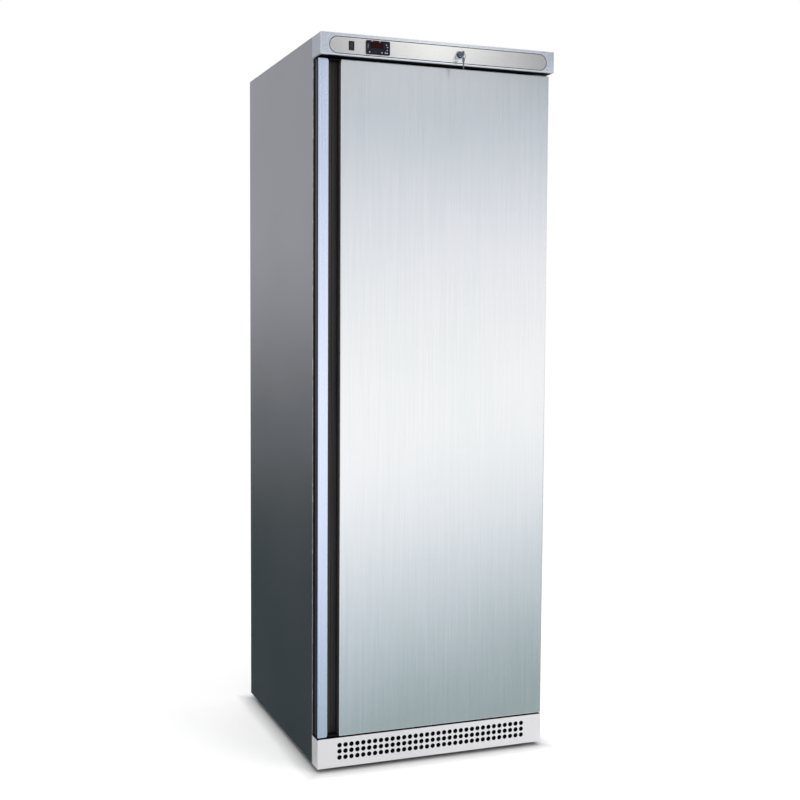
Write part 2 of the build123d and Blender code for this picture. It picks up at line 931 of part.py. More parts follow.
def door_skin():
    """Brushed steel front of the door, folded back on all four sides."""
    outer = block((recess_x, half_width), (door_front_y, door_back_y), (door_bottom, door_top))
    outer = fillet(outer.edges().filter_by(Axis.Z).group_by(Axis.Y)[0], skin_corner)
    inner = block(
        (recess_x + sheet, half_width - sheet),
        (door_front_y + sheet, door_back_y),
        (door_bottom + sheet, door_top - sheet),
    )
    inner = fillet(inner.edges().filter_by(Axis.Z).group_by(Axis.Y)[0], skin_corner - sheet)
    behind_channel = block(
        (recess_x, recess_x + sheet),
        (door_front_y + recess_depth + channel_wall, door_back_y),
        door_plate_limits()[1],
    )
    return outer - inner - behind_channel - bush_seat(fit_clearance) - door_cam_slot()


def channel_side():
    """Section of the channel's outer wall, with the band that stands out of it."""
    left = -half_width
    step = left + channel_step
    inner = step + channel_wall
    band_front = door_front_y + channel_band_start
    band_back = band_front + channel_band_width
    return [
        (step, door_back_y),
        (step, band_back),
        (left, band_back),
        (left, band_front),
        (step, band_front),
        (step, door_front_y + grip_thickness),
        (inner, door_front_y + grip_thickness),
        (inner, door_back_y),
    ]


def channel_floor():
    """Section of the recess's floor, with its ribs."""
    inner = -half_width + channel_step + channel_wall
    floor_y = door_front_y + recess_depth
    outline = [(inner, floor_y + channel_wall), (inner, floor_y)]
    for number in range(channel_ribs):
        x = (inner + recess_x) / 2 + (number - (channel_ribs - 1) / 2) * channel_rib_pitch
        outline += [(x - channel_rib, floor_y), (x, floor_y - channel_rib), (x + channel_rib, floor_y)]
    return outline + [(recess_x, floor_y), (recess_x, floor_y + channel_wall)]


def handle_channel():
    """Dark profiles that form the door's left edge and the finger recess."""
    levels = (door_bottom + cap_thickness, door_top - cap_thickness)
    floor_y = door_front_y + recess_depth
    lining = block(
        (recess_x - channel_lining, recess_x),
        (door_front_y + grip_thickness + grip_lip, floor_y),
        levels,
    )
    return Compound([prism(channel_side(), "z", *levels), prism(channel_floor(), "z", *levels), lining])


def handle_strip():
    """Aluminium grip strip over the left of the recess, with an inward lip."""
    left = -half_width
    right = left + grip_width
    plate = block((left, right), (door_front_y, door_front_y + grip_thickness), (door_bottom, door_top))
    plate = fillet(plate.edges().filter_by(Axis.Y).group_by(Axis.X)[-1], grip_corner)
    lip = block(
        (right - grip_thickness, right),
        (door_front_y + grip_thickness, door_front_y + grip_thickness + grip_lip),
        (door_bottom + 2 * grip_corner, door_top - 2 * grip_corner),
    )
    return plate + lip


def handle_end_caps():
    """Black caps that close the grip channel at the top and the bottom."""
    limits = ((-half_width, recess_x), (door_front_y + grip_thickness, door_back_y))
    lower = block(*limits, (door_bottom, door_bottom + cap_thickness))
    return lower + block(*limits, (door_top - cap_thickness, door_top))


def dyke(growth):
    """The raised field of the door liner that enters the cabinet's mouth."""
    half = mouth_half - dyke_clearance + growth
    height = mouth_top - mouth_bottom - 2 * dyke_clearance + 2 * growth
    middle = (mouth_top + mouth_bottom) / 2
    field = Pos(0, middle) * RectangleRounded(2 * half, height, liner_corner)
    start = door_back_y - liner_wall
    raised = extrude(Plane.XZ * field, dyke_depth + growth, dir=(0, 1, 0), taper=dyke_taper)
    return Pos(0, start, 0) * raised


def door_plate_limits():
    """Outline of the door liner and of the foam behind it."""
    left = -half_width + channel_step + channel_wall
    return (left, half_width - sheet), (door_bottom + cap_thickness, door_top - cap_thickness)


def door_liner():
    """Moulded inner face of the door with its raised field."""
    x, z = door_plate_limits()
    plate = block(x, (door_back_y - liner_wall, door_back_y), z)
    return plate + dyke(0) - dyke(-liner_wall)


def door_foam():
    """Foam core of the door, behind the steel front and the grip channel."""
    x, z = door_plate_limits()
    behind_channel = door_front_y + recess_depth + channel_wall
    left = block((x[0], recess_x + sheet), (behind_channel, door_back_y - liner_wall), z)
    core = block(
        (recess_x + sheet, half_width - sheet),
        (door_front_y + sheet, door_back_y - liner_wall),
        (door_bottom + sheet, door_top - sheet),
    )
    core = fillet(core.edges().filter_by(Axis.Z).group_by(Axis.Y)[0], skin_corner - sheet)
    return left + core + dyke(-liner_wall) - bush_seat(fit_clearance) - door_cam_slot()


def rim(inset, width, low, high):
    """A rectangular frame round the door's inner face, drawn in from its edge."""
    far = half_width - inset
    near = far - width
    outer = block((-far, far), (low, high), (door_bottom + inset, door_top - inset))
    inner = block(
        (-near, near), (low, high), (door_bottom + inset + width, door_top - inset - width)
    )
    return outer - inner


def door_gasket():
    """Black magnetic gasket: a foot on the door, a soft waist and the magnet strip."""
    foot_high = door_back_y + gasket_gap / 4
    head_low = front_y - running_gap - gasket_gap / 3
    gasket = rim(gasket_inset, gasket_width, door_back_y, foot_high)
    gasket += rim(gasket_inset + 4, gasket_width - 8, foot_high, head_low)
    return gasket + rim(gasket_inset, gasket_width, head_low, front_y - running_gap)


def wire_shelf(index):
    """Wire shelf: square wires, set on edge in a rim, with a stop rail at the back."""
    low = step_top + lowest_ledge + index * ledges_per_shelf * ledge_pitch
    high = low + shelf_rim
    half = mouth_half - shelf_side_gap
    start = front_y + shelf_setback
    end = start + shelf_depth
    outer = block((-half, half), (start, end), (low, high))
    outer = chamfer(outer.edges().filter_by(Axis.Z), shelf_corner)
    inner = block(
        (-half + shelf_rim, half - shelf_rim), (start + shelf_rim, end - shelf_rim), (low, high)
    )
    shelf = outer - inner
    wires = int((2 * half - 2 * shelf_rim) / shelf_wire_pitch)
    middle_z = (low + high) / 2
    section = RegularPolygon(shelf_wire_radius, 4, major_radius=False)
    for number in range(wires):
        x = (number - (wires - 1) / 2) * shelf_wire_pitch
        face = Plane.XZ * Pos(x, middle_z) * section
        wire = extrude(face, shelf_depth - 2 * shelf_rim + 2 * shelf_weld, dir=(0, 1, 0))
        shelf += Pos(0, start + shelf_rim - shelf_weld, 0) * wire
    stop_half = half - 2 * shelf_corner
    stop = prism(
        [
            (-stop_half, high),
            (-stop_half, high + shelf_stop_height),
            (stop_half, high + shelf_stop_height),
            (stop_half, high),
            (stop_half - shelf_rim, high),
            (stop_half - shelf_rim, high + shelf_stop_height - shelf_rim),
            (-stop_half + shelf_rim, high + shelf_stop_height - shelf_rim),
            (-stop_half + shelf_rim, high),
        ],
        "y",
        end - shelf_rim,
        end,
    )
    return Compound([shelf, stop])


def fan_centre():
    """Middle of the circulation fan on the liner's back wall."""
    return 0.0, mouth_top - fan_drop - fan_size / 2


def fan_housing():
    """Square fan shroud with a round duct and three motor arms."""
    x, z = fan_centre()
    half = fan_size / 2
    shroud = block((x - half, x + half), (liner_back_y - fan_depth, liner_back_y), (z - half, z + half))
    shroud -= bar("y", (x, z), fan_bore, liner_back_y - fan_depth, liner_back_y, turned_sides)
    arms_low = liner_back_y - fan_arm
    for angle in (90, 210, 330):
        arm = block((0, fan_bore + fan_arm / 2), (arms_low, liner_back_y), (-fan_arm, fan_arm))
        shroud += Pos(x, 0, z) * Rot(0, -angle, 0) * arm
    return shroud


def fan_motor():
    """Fan motor on the arms, with its shaft to the front."""
    x, z = fan_centre()
    back = liner_back_y - fan_arm
    front = back - fan_motor_length
    motor = bar("y", (x, z), fan_motor_radius, front, back)
    return motor + rod("y", (x, z), fan_shaft_radius, front - fan_hub_length, front)


def fan_blades():
    """Plastic fan rotor: a hub with pitched, swept blades."""
    x, z = fan_centre()
    back = liner_back_y - fan_arm - fan_motor_length - sheet
    front = back - fan_hub_length
    rotor = bar("y", (x, z), fan_hub_radius, front, back)
    tip = fan_blade_reach
    root = fan_hub_radius - fan_blade_thickness
    outline = [
        (root, -fan_blade_root / 2),
        (tip - fan_blade_sweep, -fan_blade_chord / 2),
        (tip, 0),
        (tip - fan_blade_sweep, fan_blade_chord / 2),
        (root, fan_blade_root / 2),
    ]
    blade = prism(outline, "z", -fan_blade_thickness / 2, fan_blade_thickness / 2)
    for number in range(fan_blade_count):
        turn = Rot(0, 360 / fan_blade_count * number, 0)
        rotor += Pos(x, (front + back) / 2, z) * turn * Rot(90 + fan_blade_pitch, 0, 0) * blade
    return rotor - rod("y", (x, z), fan_shaft_radius + fit_clearance, front, back)


def fan_guard():
    """Slotted finger guard over the fan."""
    x, z = fan_centre()
    half = fan_size / 2
    front = liner_back_y - fan_depth - guard_thickness
    guard = block((x - half, x + half), (front, front + guard_thickness), (z - half, z + half))
    for number in range(guard_slots):
        level = (number - (guard_slots - 1) / 2) * guard_slot_pitch
        reach = math.sqrt(fan_bore**2 - (abs(level) + guard_slot_height / 2) ** 2)
        guard -= block(
            (x - reach, x + reach),
            (front, front + guard_thickness),
            (z + level - guard_slot_height / 2, z + level + guard_slot_height / 2),
        )
    return guard


def evaporator_plate():
    """Cold plate on the back wall with its raised refrigerant channel."""
    low = step_top + lowest_ledge + 2 * shelf_stop_height
    high = mouth_top - fan_drop - fan_size - evaporator_standoff
    half = evaporator_width / 2
    back = liner_back_y - evaporator_standoff
    front = back - evaporator_thickness
    plate = block((-half, half), (front, back), (low, high))
    pitch = (high - low) / channel_passes
    reach = half - 2 * channel_width
    for number in range(channel_passes):
        level = low + (number + 0.5) * pitch
        plate += block(
            (-reach, reach),
            (front - channel_height, front),
            (level - channel_width / 2, level + channel_width / 2),
        )
        if number:
            side = reach if number % 2 else -reach
            inner = side - channel_width if side > 0 else side + channel_width
            plate += block(
                (min(side, inner), max(side, inner)),
                (front - channel_height, front),
                (level - pitch, level),
            )
    for x in (-reach, reach):
        for z in (low + pitch / 4, high - pitch / 4):
            plate += Pos(x, liner_back_y - evaporator_standoff / 2, z) * Box(
                channel_width, evaporator_standoff, channel_width
            )
    return plate


def bay_centre_y():
    """Middle of the machine bay from front to back."""
    return back_y - bay_depth / 2


def grommet_places():
    """Places of the four rubber mounts under the compressor's legs."""
    reach = leg_length / 2 - grommet_radius
    span = leg_width / 2 - grommet_radius
    return [(compressor_x + u * reach, bay_centre_y() + v * span) for u in (-1, 1) for v in (-1, 1)]


def compressor_grommets():
    """Rubber mounts between the base plate and the compressor's legs."""
    levels = (rail_top, rail_top + grommet_height)
    return Compound([bar("z", place, grommet_radius, *levels) for place in grommet_places()])


def leg_top():
    """Upper face of the compressor's leg plate."""
    return rail_top + grommet_height + leg_thickness


def compressor():
    """Welded compressor shell with its seam flange, leg plate and tube stubs."""
    base = leg_top()
    radius = compressor_radius
    seam = base + compressor_seam
    rim = radius + compressor_flange
    centre = (compressor_x, bay_centre_y())
    shell = drum(centre, radius, base, base + compressor_height, dome_rise, turned_sides)
    shell += bar("z", centre, rim, seam, seam + compressor_flange, turned_sides)
    half = leg_length / 2
    span = leg_width / 2
    legs = block(
        (compressor_x - half, compressor_x + half),
        (bay_centre_y() - span, bay_centre_y() + span),
        (base - leg_thickness, base),
    )
    legs = chamfer(legs.edges().filter_by(Axis.Z), grommet_radius)
    pad = block(
        (compressor_x + radius - dome_rise, relay_limits()[0][0]),
        (bay_centre_y() - relay_depth / 3, bay_centre_y() + relay_depth / 3),
        (base + dome_rise, seam),
    )
    return shell + legs + pad


def relay_limits():
    """Limits of the cover over the compressor's terminals."""
    start = compressor_x + compressor_radius + compressor_flange + sheet
    middle = leg_top() + compressor_seam - dome_rise
    return (
        (start, start + relay_width),
        (bay_centre_y() - relay_depth / 2, bay_centre_y() + relay_depth / 2),
        (middle - relay_height / 2, middle + relay_height / 2),
    )


def relay_cover():
    """Black cover over the compressor's terminals and the incoming wires."""
    cover = block(*relay_limits())
    return chamfer(cover.faces().sort_by(Axis.X)[-1].edges(), relay_corner)


def cable_gland():
    """Gland for the mains lead, on the back of the terminal cover."""
    x, y, z = relay_limits()
    centre = (sum(x) / 2, sum(z) / 2)
    gland = bar("y", centre, gland_radius + tray_wall, y[1], y[1] + gland_length / 3, 6)
    gland += bar("y", centre, gland_radius, y[1] + gland_length / 3, y[1] + gland_length)
    return gland - bar("y", centre, gland_radius / 2, y[1], y[1] + gland_length)


def evaporation_tray():
    """Open tray on the warm compressor that takes the defrost water."""
    base = leg_top() + compressor_height
    x = (compressor_x - tray_length / 2, compressor_x + tray_length / 2)
    y = (bay_centre_y() - tray_width / 2, bay_centre_y() + tray_width / 2)
    tray = block(x, y, (base, base + tray_height))
    tray = chamfer(tray.edges().filter_by(Axis.Z), tray_corner)
    hollow = block(
        (x[0] + tray_wall, x[1] - tray_wall),
        (y[0] + tray_wall, y[1] - tray_wall),
        (base + tray_wall, base + tray_height),
    )
    hollow = chamfer(hollow.edges().filter_by(Axis.Z), tray_corner - tray_wall)
    return tray - hollow


def drain_tube():
    """Drain from the storage space through the foam to above the tray."""
    outer = drain_hole(drain_radius)
    return outer - drain_hole(drain_bore)


def condenser_place():
    """Line of the condenser's tube behind the back panel."""
    return back_y + condenser_standoff


def condenser():
    """Wire-on-tube condenser: a serpentine between two layers of upright wires."""
    y = condenser_place()
    half = condenser_width / 2
    bend = condenser_pitch / 4
    points = []
    for number in range(condenser_passes):
        z = condenser_bottom + number * condenser_pitch
        side = 1 if number % 2 else -1
        start = -side * half
        if number:
            points += [(start, z - bend), (start + side * bend, z)]
        else:
            points += [(start, z)]
        if number < condenser_passes - 1:
            points += [(-start - side * bend, z), (-start, z + bend)]
        else:
            points += [(-start, z)]
    coil = tube_along([(x, y, z) for x, z in points], tube_size)
    high = condenser_bottom + (condenser_passes - 1) * condenser_pitch + tube_size
    low = condenser_bottom - tube_size
    solids = [coil]
    spacing = (condenser_width - 4 * bend) / (wires_per_side - 1)
    for number in range(wires_per_side):
        x = (number - (wires_per_side - 1) / 2) * spacing
        across = (x - wire_size / 2, x + wire_size / 2)
        for layer in (y - tube_size / 2 - wire_size, y + tube_size / 2):
            solids.append(block(across, (layer, layer + wire_size), (low, high)))
    return Compound(solids)


def condenser_brackets():
    """Plastic clips that hold the condenser off the back panel."""
    y = condenser_place() - tube_size / 2
    spacing = (condenser_width - condenser_pitch) / (wires_per_side - 1)
    clips = []
    for column in (-3, 3):
        for number in (1, condenser_passes - 2):
            x = column * spacing
            z = condenser_bottom + number * condenser_pitch
            clips.append(Pos(x, (back_y + y) / 2, z) * Box(clip_width, y - back_y, clip_height))
    return Compound(clips)


def filter_drier():
    """Copper filter drier under the condenser's lower end."""
    x = condenser_width / 2
    top = condenser_bottom - tube_size / math.sqrt(3)
    return drum((x, condenser_place()), drier_radius, top - drier_length, top, tube_size, turned_sides // 2)


nodes = {
    "cabinet_wrapper": cabinet_wrapper(),
    "back_panel": back_panel(),
    "foam_insulation": foam_insulation(),
    "inner_liner": inner_liner(),
    "base_frame": base_frame(),
    "kickplate_grille": kickplate_grille(),
    "fascia_housing": fascia_housing(),
    "fascia_base": fascia_base(),
    "fascia_inlay": fascia_inlay(),
    "switch_frame": switch_frame(),
    "power_rocker": power_rocker(),
    "controller_body": controller_body(),
    "controller_window": window_pocket(fit_clearance),
    "lock_barrel": lock_barrel(),
    "lock_plug": lock_plug(),
    "lock_cam": lock_cam(),
    "door_key": door_key(),
    "key_ring": key_ring(),
    "spare_key": spare_key(),
    "hinge_bracket_top": hinge_bracket(
        top_plate_low(),
        top_plate_low(),
        top_plate_low() + bracket_height,
    ),
    "hinge_bracket_bottom": hinge_bracket(
        bottom_plate_low(),
        bottom_plate_low() + hinge_plate - bracket_height,
        bottom_plate_low() + hinge_plate,
    ),
    "hinge_pins": hinge_pins(),
    "hinge_bolts": hinge_bolts(),
    "hinge_bushes": hinge_bushes(),
    "door_skin": door_skin(),
    "door_foam": door_foam(),
    "door_liner": door_liner(),
    "door_gasket": door_gasket(),
    "handle_strip": handle_strip(),
    "handle_channel": handle_channel(),
    "handle_end_caps": handle_end_caps(),
    "fan_housing": fan_housing(),
    "fan_motor": fan_motor(),
    "fan_blades": fan_blades(),
    "fan_guard": fan_guard(),
    "evaporator_plate": evaporator_plate(),
    "compressor": compressor(),
    "compressor_grommets": compressor_grommets(),
    "relay_cover": relay_cover(),
    "cable_gland": cable_gland(),
    "evaporation_tray": evaporation_tray(),
    "drain_tube": drain_tube(),
    "condenser": condenser(),
    "condenser_brackets": condenser_brackets(),
    "filter_drier": filter_drier(),
    "foot_left": foot(-1),
    "foot_right": foot(1),
    "roller_left": roller(-1),
    "roller_right": roller(1),
    "roller_brackets": roller_brackets(),
    "roller_axles": roller_axles(),
}
for index in range(button_count):
    nodes[f"controller_button_{index + 1}"] = controller_button(index)
for index in range(shelf_count):
    nodes[f"wire_shelf_{index + 1}"] = wire_shelf(index)

os.makedirs("parts", exist_ok=True)
for name, piece in nodes.items():
    export_step(piece, f"parts/{name}.step")
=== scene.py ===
"""Dresses an upright commercial refrigerator: finishes for its rigid frame, and detailed pieces.

The cabinet has satin grey sides, a door of brushed steel with a grip strip down its left edge, a
silver fascia with a switch, a controller and a lock, and a white plinth with round air holes.
Sizes are in millimetres, with X to the right, Y to the back and Z up from the floor.
"""

import logging
import math
from collections.abc import Iterable, Sequence
from dataclasses import dataclass
from enum import Enum

import bmesh
import bpy
from mathutils import Matrix, Vector


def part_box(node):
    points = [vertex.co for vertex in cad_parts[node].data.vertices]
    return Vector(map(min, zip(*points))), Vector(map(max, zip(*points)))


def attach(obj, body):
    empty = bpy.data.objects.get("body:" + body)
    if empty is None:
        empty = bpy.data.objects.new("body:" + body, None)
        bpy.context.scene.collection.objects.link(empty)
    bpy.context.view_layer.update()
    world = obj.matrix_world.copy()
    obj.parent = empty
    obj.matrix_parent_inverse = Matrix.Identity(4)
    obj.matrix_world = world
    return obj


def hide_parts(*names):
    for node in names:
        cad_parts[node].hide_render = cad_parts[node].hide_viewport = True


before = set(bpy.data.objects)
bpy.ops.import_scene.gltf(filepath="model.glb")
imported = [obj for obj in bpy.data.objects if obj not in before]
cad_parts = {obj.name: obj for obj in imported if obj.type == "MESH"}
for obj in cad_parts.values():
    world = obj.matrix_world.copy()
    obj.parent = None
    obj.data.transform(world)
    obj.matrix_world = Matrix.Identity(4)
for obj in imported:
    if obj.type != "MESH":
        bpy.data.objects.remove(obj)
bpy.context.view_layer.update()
MM = 0.001
TOUCH = 0.01
WHITE = (1.0, 1.0, 1.0, 1.0)

log = logging.getLogger("refrigerator")

Pair = tuple[float, float]
Point = tuple[float, float, float]
Tree = bpy.types.NodeTree
Socket = bpy.types.NodeSocket
Vert, Edge, Face = bmesh.types.BMVert, bmesh.types.BMEdge, bmesh.types.BMFace


# ---------------------------------------------------------------- node helpers


def linear(colour: str) -> tuple[float, float, float, float]:
    """Turns an sRGB hex colour into linear light.

    Args:
        colour: Six hex digits, such as "c0c4c8".

    Returns:
        Linear red, green and blue, and an alpha of one.
    """
    shares = [int(colour[start : start + 2], 16) / 255 for start in (0, 2, 4)]
    light = [s / 12.92 if s <= 0.04045 else ((s + 0.055) / 1.055) ** 2.4 for s in shares]
    return light[0], light[1], light[2], 1.0


def add_node(
    tree: Tree, kind: str, inputs: dict | None = None, out: str = "", stops: Sequence = (), **settings: object
) -> Socket | None:
    """Adds a node, gives it its settings and values, and links what feeds it.

    Args:
        tree: The node tree.
        kind: The node's type name.
        inputs: Values or output sockets for the node's inputs, by name or number.
        out: Name of the output that is wanted, where it isn't the first one in use.
        stops: Places and colours of a colour ramp.
        settings: The node's own properties.

    Returns:
        The wanted output, or nothing for a node without outputs.
    """
    node = tree.nodes.new(kind)
    for key, value in settings.items():
        setattr(node, key, value)
    for key, value in (inputs or {}).items():
        if isinstance(value, Socket):
            tree.links.new(value, node.inputs[key])
        else:
            node.inputs[key].default_value = value
    if stops:
        ramp = node.color_ramp.elements
        while len(ramp) < len(stops):
            ramp.new(1.0)
        for element, (place, shade) in zip(ramp, stops):
            element.position, element.color = place, shade
    return node.outputs[out] if out else next((socket for socket in node.outputs if socket.enabled), None)


def maths(tree: Tree, operation: str, *values: float | Socket) -> Socket:
    """Adds a sum on values and sockets and returns its result."""
    return add_node(tree, "ShaderNodeMath", dict(enumerate(values)), operation=operation)


def mapped(
    tree: Tree, value: Socket, start: float, end: float,
    low: float = 0.0, high: float = 1.0, **settings: object,
) -> Socket:
    """Adds a node that maps a value from one range to another, and returns its result."""
    ends = {"Value": value, "From Min": start, "From Max": end, "To Min": low, "To Max": high}
    return add_node(tree, "ShaderNodeMapRange", ends, **settings)


def noise(tree: Tree, place: Socket, size: float, detail: float) -> Socket:
    """Adds clouds of a size in mm and returns their value."""
    return add_node(tree, "ShaderNodeTexNoise", {"Vector": place, "Scale": 1 / (size * MM), "Detail": detail})


def mixed(tree: Tree, share: Socket, first: object, second: object, blend: str = "MIX") -> Socket:
    """Adds a blend of two colours and returns it."""
    inputs = {"Factor": share, 6: first, 7: second}
    return add_node(tree, "ShaderNodeMix", inputs, data_type="RGBA", blend_type=blend)


def emptied(block: bpy.types.ID) -> Tree:
    """Clears the nodes of a new material or world.

    Args:
        block: The material or world.

    Returns:
        Its empty node tree.
    """
    block.use_nodes = True
    block.node_tree.nodes.clear()
    return block.node_tree


# ---------------------------------------------------------------- finishes


class Surface:
    """What every finish shares: a material that is made when it is first asked for."""

    name: str

    def material(self) -> bpy.types.Material:
        """Gives the material of this finish.

        Returns:
            The material, made the first time.
        """
        made = bpy.data.materials.get(self.name)
        if made is None:
            made = bpy.data.materials.new(self.name)
            tree = emptied(made)
            place = add_node(tree, "ShaderNodeTexCoord", out="Object")
            add_node(tree, "ShaderNodeOutputMaterial", {"Surface": self.shade(tree, place)})
        return made

    def shade(self, tree: Tree, place: Socket) -> Socket:
        """Adds the nodes of this finish.

        Args:
            tree: The material's empty node tree.
            place: Object coordinates.

        Returns:
            The shader.
        """
        raise NotImplementedError


class Grain(Enum):
    """What the surface of a finish shows when seen close."""

    BRUSHED = "long parallel lines of the brush"
    PEEL = "soft ripple of sprayed or coated sheet"
    MOULDED = "fine cells etched into the mould"
    SPANGLE = "crystals of hot-dip zinc"
    FLAKE = "metal flakes in silver paint"
    STREAKED = "long streaks of an extruded profile"
    POROUS = "cut bubbles of foam"
    SMUDGED = "even polish with a few soft smears"


# How much of a finish's wandering comes from its fine pattern, and how ragged a streaky one is.
FINE_SHARE = {Grain.SPANGLE: 0.75, Grain.FLAKE: 0.6, Grain.STREAKED: 0.8, Grain.BRUSHED: 0.55}
RAGGED = {Grain.BRUSHED: 4.0, Grain.STREAKED: 5.0}
# Distances in mm from the middle where the painted shade towards an end starts and is complete.
PAINTED_END_SHADE_SPAN = (30.0, 290.0)
# Size in mm of the patches in which edges wear.
WEAR_PATCH = 1000 / 90


@dataclass(frozen=True)
class Finish(Surface):
    """One real surface, with two shades that it wanders between.

    Attributes:
        name: The material's name.
        light: Its lighter shade, as sRGB hex.
        dark: Its darker shade, as sRGB hex.
        rough: Least and most roughness.
        grain: The kind of fine pattern.
        pitch: Real size of that pattern in mm.
        stretch: How many times longer the pattern is along X, Y and Z.
        relief: Height of the pattern in mm.
        cloud: Size in mm of the slow wandering between the shades.
        metallic: Share of metal.
        edge: Radius in mm that light finds on its sharp edges.
        wear_and_highlight: Colour that its edges turn to: partly wear, and on the pale metals also a painted
            highlight.
        coat: Weight of a clear coat.
        sheen: Weight of a soft dusty sheen.
        shine: Level of the plain reflection, where a half is what most plastics have.
        ends: Painted shade that it is multiplied by towards the left and right ends of the object, in place
            of the darker reflection there.
    """

    name: str
    light: str
    dark: str
    rough: Pair
    grain: Grain
    pitch: float
    stretch: Point = (1.0, 1.0, 1.0)
    relief: float = 0.02
    cloud: float = 150.0
    metallic: float = 0.0
    edge: float = 0.4
    wear_and_highlight: str = ""
    coat: float = 0.0
    sheen: float = 0.0
    shine: float = 0.5
    ends: str = ""

    def _fine(self, tree: Tree, place: Socket) -> Socket:
        """Adds the fine pattern.

        Args:
            tree: The material's node tree.
            place: Object coordinates.

        Returns:
            A value from 0 to 1.
        """
        scale = tuple(1 / (self.pitch * MM * long) for long in self.stretch)
        scaled = add_node(tree, "ShaderNodeMapping", {"Vector": place, "Scale": scale})
        inputs = {"Vector": scaled, "Scale": 1.0}
        if self.grain in (Grain.SPANGLE, Grain.FLAKE):
            cells = add_node(tree, "ShaderNodeTexVoronoi", inputs, "Color")
            return add_node(tree, "ShaderNodeSeparateColor", {"Color": cells})
        if self.grain in (Grain.MOULDED, Grain.POROUS):
            return add_node(tree, "ShaderNodeTexVoronoi", inputs, feature="SMOOTH_F1")
        return add_node(tree, "ShaderNodeTexNoise", {**inputs, "Detail": RAGGED.get(self.grain, 1.0)})

    def shade(self, tree: Tree, place: Socket) -> Socket:
        """Adds the shades, the roughness, the rounded and worn edges and the relief.

        Args:
            tree: The material's empty node tree.
            place: Object coordinates.

        Returns:
            The shader.
        """
        fine = self._fine(tree, place)
        slow = noise(tree, place, self.cloud, 3.0)
        share = FINE_SHARE.get(self.grain, 0.35)
        blend = add_node(tree, "ShaderNodeMix", {"Factor": share, "A": slow, "B": fine})
        colour = mixed(tree, mapped(tree, blend, 0.3, 0.7), linear(self.dark), linear(self.light))
        # Painted shade: the colour darkens towards both ends, in place of the reflection that falls off
        # there.
        if self.ends:
            across = add_node(tree, "ShaderNodeSeparateXYZ", {0: place}, "X")
            start, end = PAINTED_END_SHADE_SPAN
            share = mapped(tree, maths(tree, "ABSOLUTE", across), start * MM, end * MM)
            colour = mixed(tree, share, colour, linear(self.ends), "MULTIPLY")
        rounded = add_node(tree, "ShaderNodeBevel", {"Radius": self.edge * MM}, samples=4)
        if self.wear_and_highlight:
            # Near an edge the rounded normal leaves the flat one, and patches break this up: the colour there
            # is wear, and on the pale metals also a painted highlight.
            flat = add_node(tree, "ShaderNodeNewGeometry", out="Normal")
            turn = add_node(tree, "ShaderNodeVectorMath", {0: rounded, 1: flat}, operation="DOT_PRODUCT")
            some = mapped(tree, noise(tree, place, WEAR_PATCH, 4.0), 0.42, 0.68)
            share = maths(tree, "MULTIPLY", mapped(tree, turn, 0.995, 0.8), some)
            colour = mixed(tree, share, colour, linear(self.wear_and_highlight))
        inputs = {"Height": fine, "Strength": 1.0, "Distance": self.relief * MM, "Normal": rounded}
        relief = add_node(tree, "ShaderNodeBump", inputs)
        inputs = {
            "Base Color": colour, "Roughness": mapped(tree, blend, 0.25, 0.75, *self.rough),
            "Metallic": self.metallic, "Specular IOR Level": self.shine, "Normal": relief,
        }
        if self.coat:
            inputs |= {"Coat Weight": self.coat, "Coat Roughness": 0.12}
        if self.sheen:
            inputs |= {"Sheen Weight": self.sheen}
        return add_node(tree, "ShaderNodeBsdfPrincipled", inputs)


# Cold-rolled sheet with a satin metallic lacquer: even grey with a faint ripple and slow clouds, and a
# painted highlight along its edges.
CABINET_STEEL = Finish(
    "lacquered_steel_sheet", "b8b9be", "a9abaf", (0.2, 0.28), Grain.PEEL, 3.0,
    relief=0.004, cloud=420.0, metallic=0.94, edge=3.4, wear_and_highlight="f0f1f4",
)
# Stainless sheet brushed upright and sealed: long fine lines that draw reflections out, and a painted
# highlight on its edges.
# The lines are about 0.2 mm apart and are drawn at 1.4 mm, so that they show.
DOOR_STEEL = Finish(
    "brushed_stainless_sheet", "e3e2e4", "d3d8d7", (0.2, 0.27), Grain.BRUSHED, 1.4,
    stretch=(1.0, 1.0, 160.0), relief=0.003, cloud=380.0, metallic=0.94, edge=2.2, wear_and_highlight="f4f5f7",
)
# Hot-dip galvanised sheet: crystals of lighter and darker zinc a few millimetres across.
ZINC_SHEET = Finish(
    "galvanised_sheet", "aeb2b4", "a2a7a9", (0.36, 0.46), Grain.SPANGLE, 7.0,
    relief=0.006, metallic=0.9, edge=0.6,
)
# Rigid polyurethane foam: creamy, matt and full of small bubbles.
FOAM = Finish(
    "polyurethane_foam", "e9dcae", "cdb986", (0.8, 0.95), Grain.POROUS, 2.4, relief=0.35, edge=1.0,
)
# Vacuum-formed polystyrene liner: bright white, glossy, with a faint sag in its sheet.
LINER_WHITE = Finish(
    "formed_polystyrene", "f0f1f0", "ecedec", (0.27, 0.31), Grain.PEEL, 14.0,
    relief=0.001, cloud=700.0, edge=2.0, coat=0.15,
)
# Zinc-plated mild steel: bluish grey, a little cloudy, brighter where its edges rub.
PLATED_STEEL = Finish(
    "zinc_plated_steel", "a9adb2", "878c93", (0.3, 0.46), Grain.SMUDGED, 5.0,
    relief=0.01, cloud=45.0, metallic=0.95, edge=0.5, wear_and_highlight="d9dcdf",
)
# Satin black paint on the pressed base frame: even, a little rippled, grey on its cut edges.
CHASSIS_BLACK = Finish(
    "black_chassis_paint", "232426", "151617", (0.4, 0.54), Grain.PEEL, 3.0,
    relief=0.02, cloud=90.0, edge=0.6, wear_and_highlight="5c5e60", shine=0.3,
)
# Powder-coated steel sheet of the plinth: white with a fine orange-peel ripple.
PLINTH_WHITE = Finish(
    "white_powder_coat", "f6f6f8", "ecebef", (0.3, 0.42), Grain.PEEL, 1.6,
    relief=0.02, edge=0.5, wear_and_highlight="f8f8fa",
)
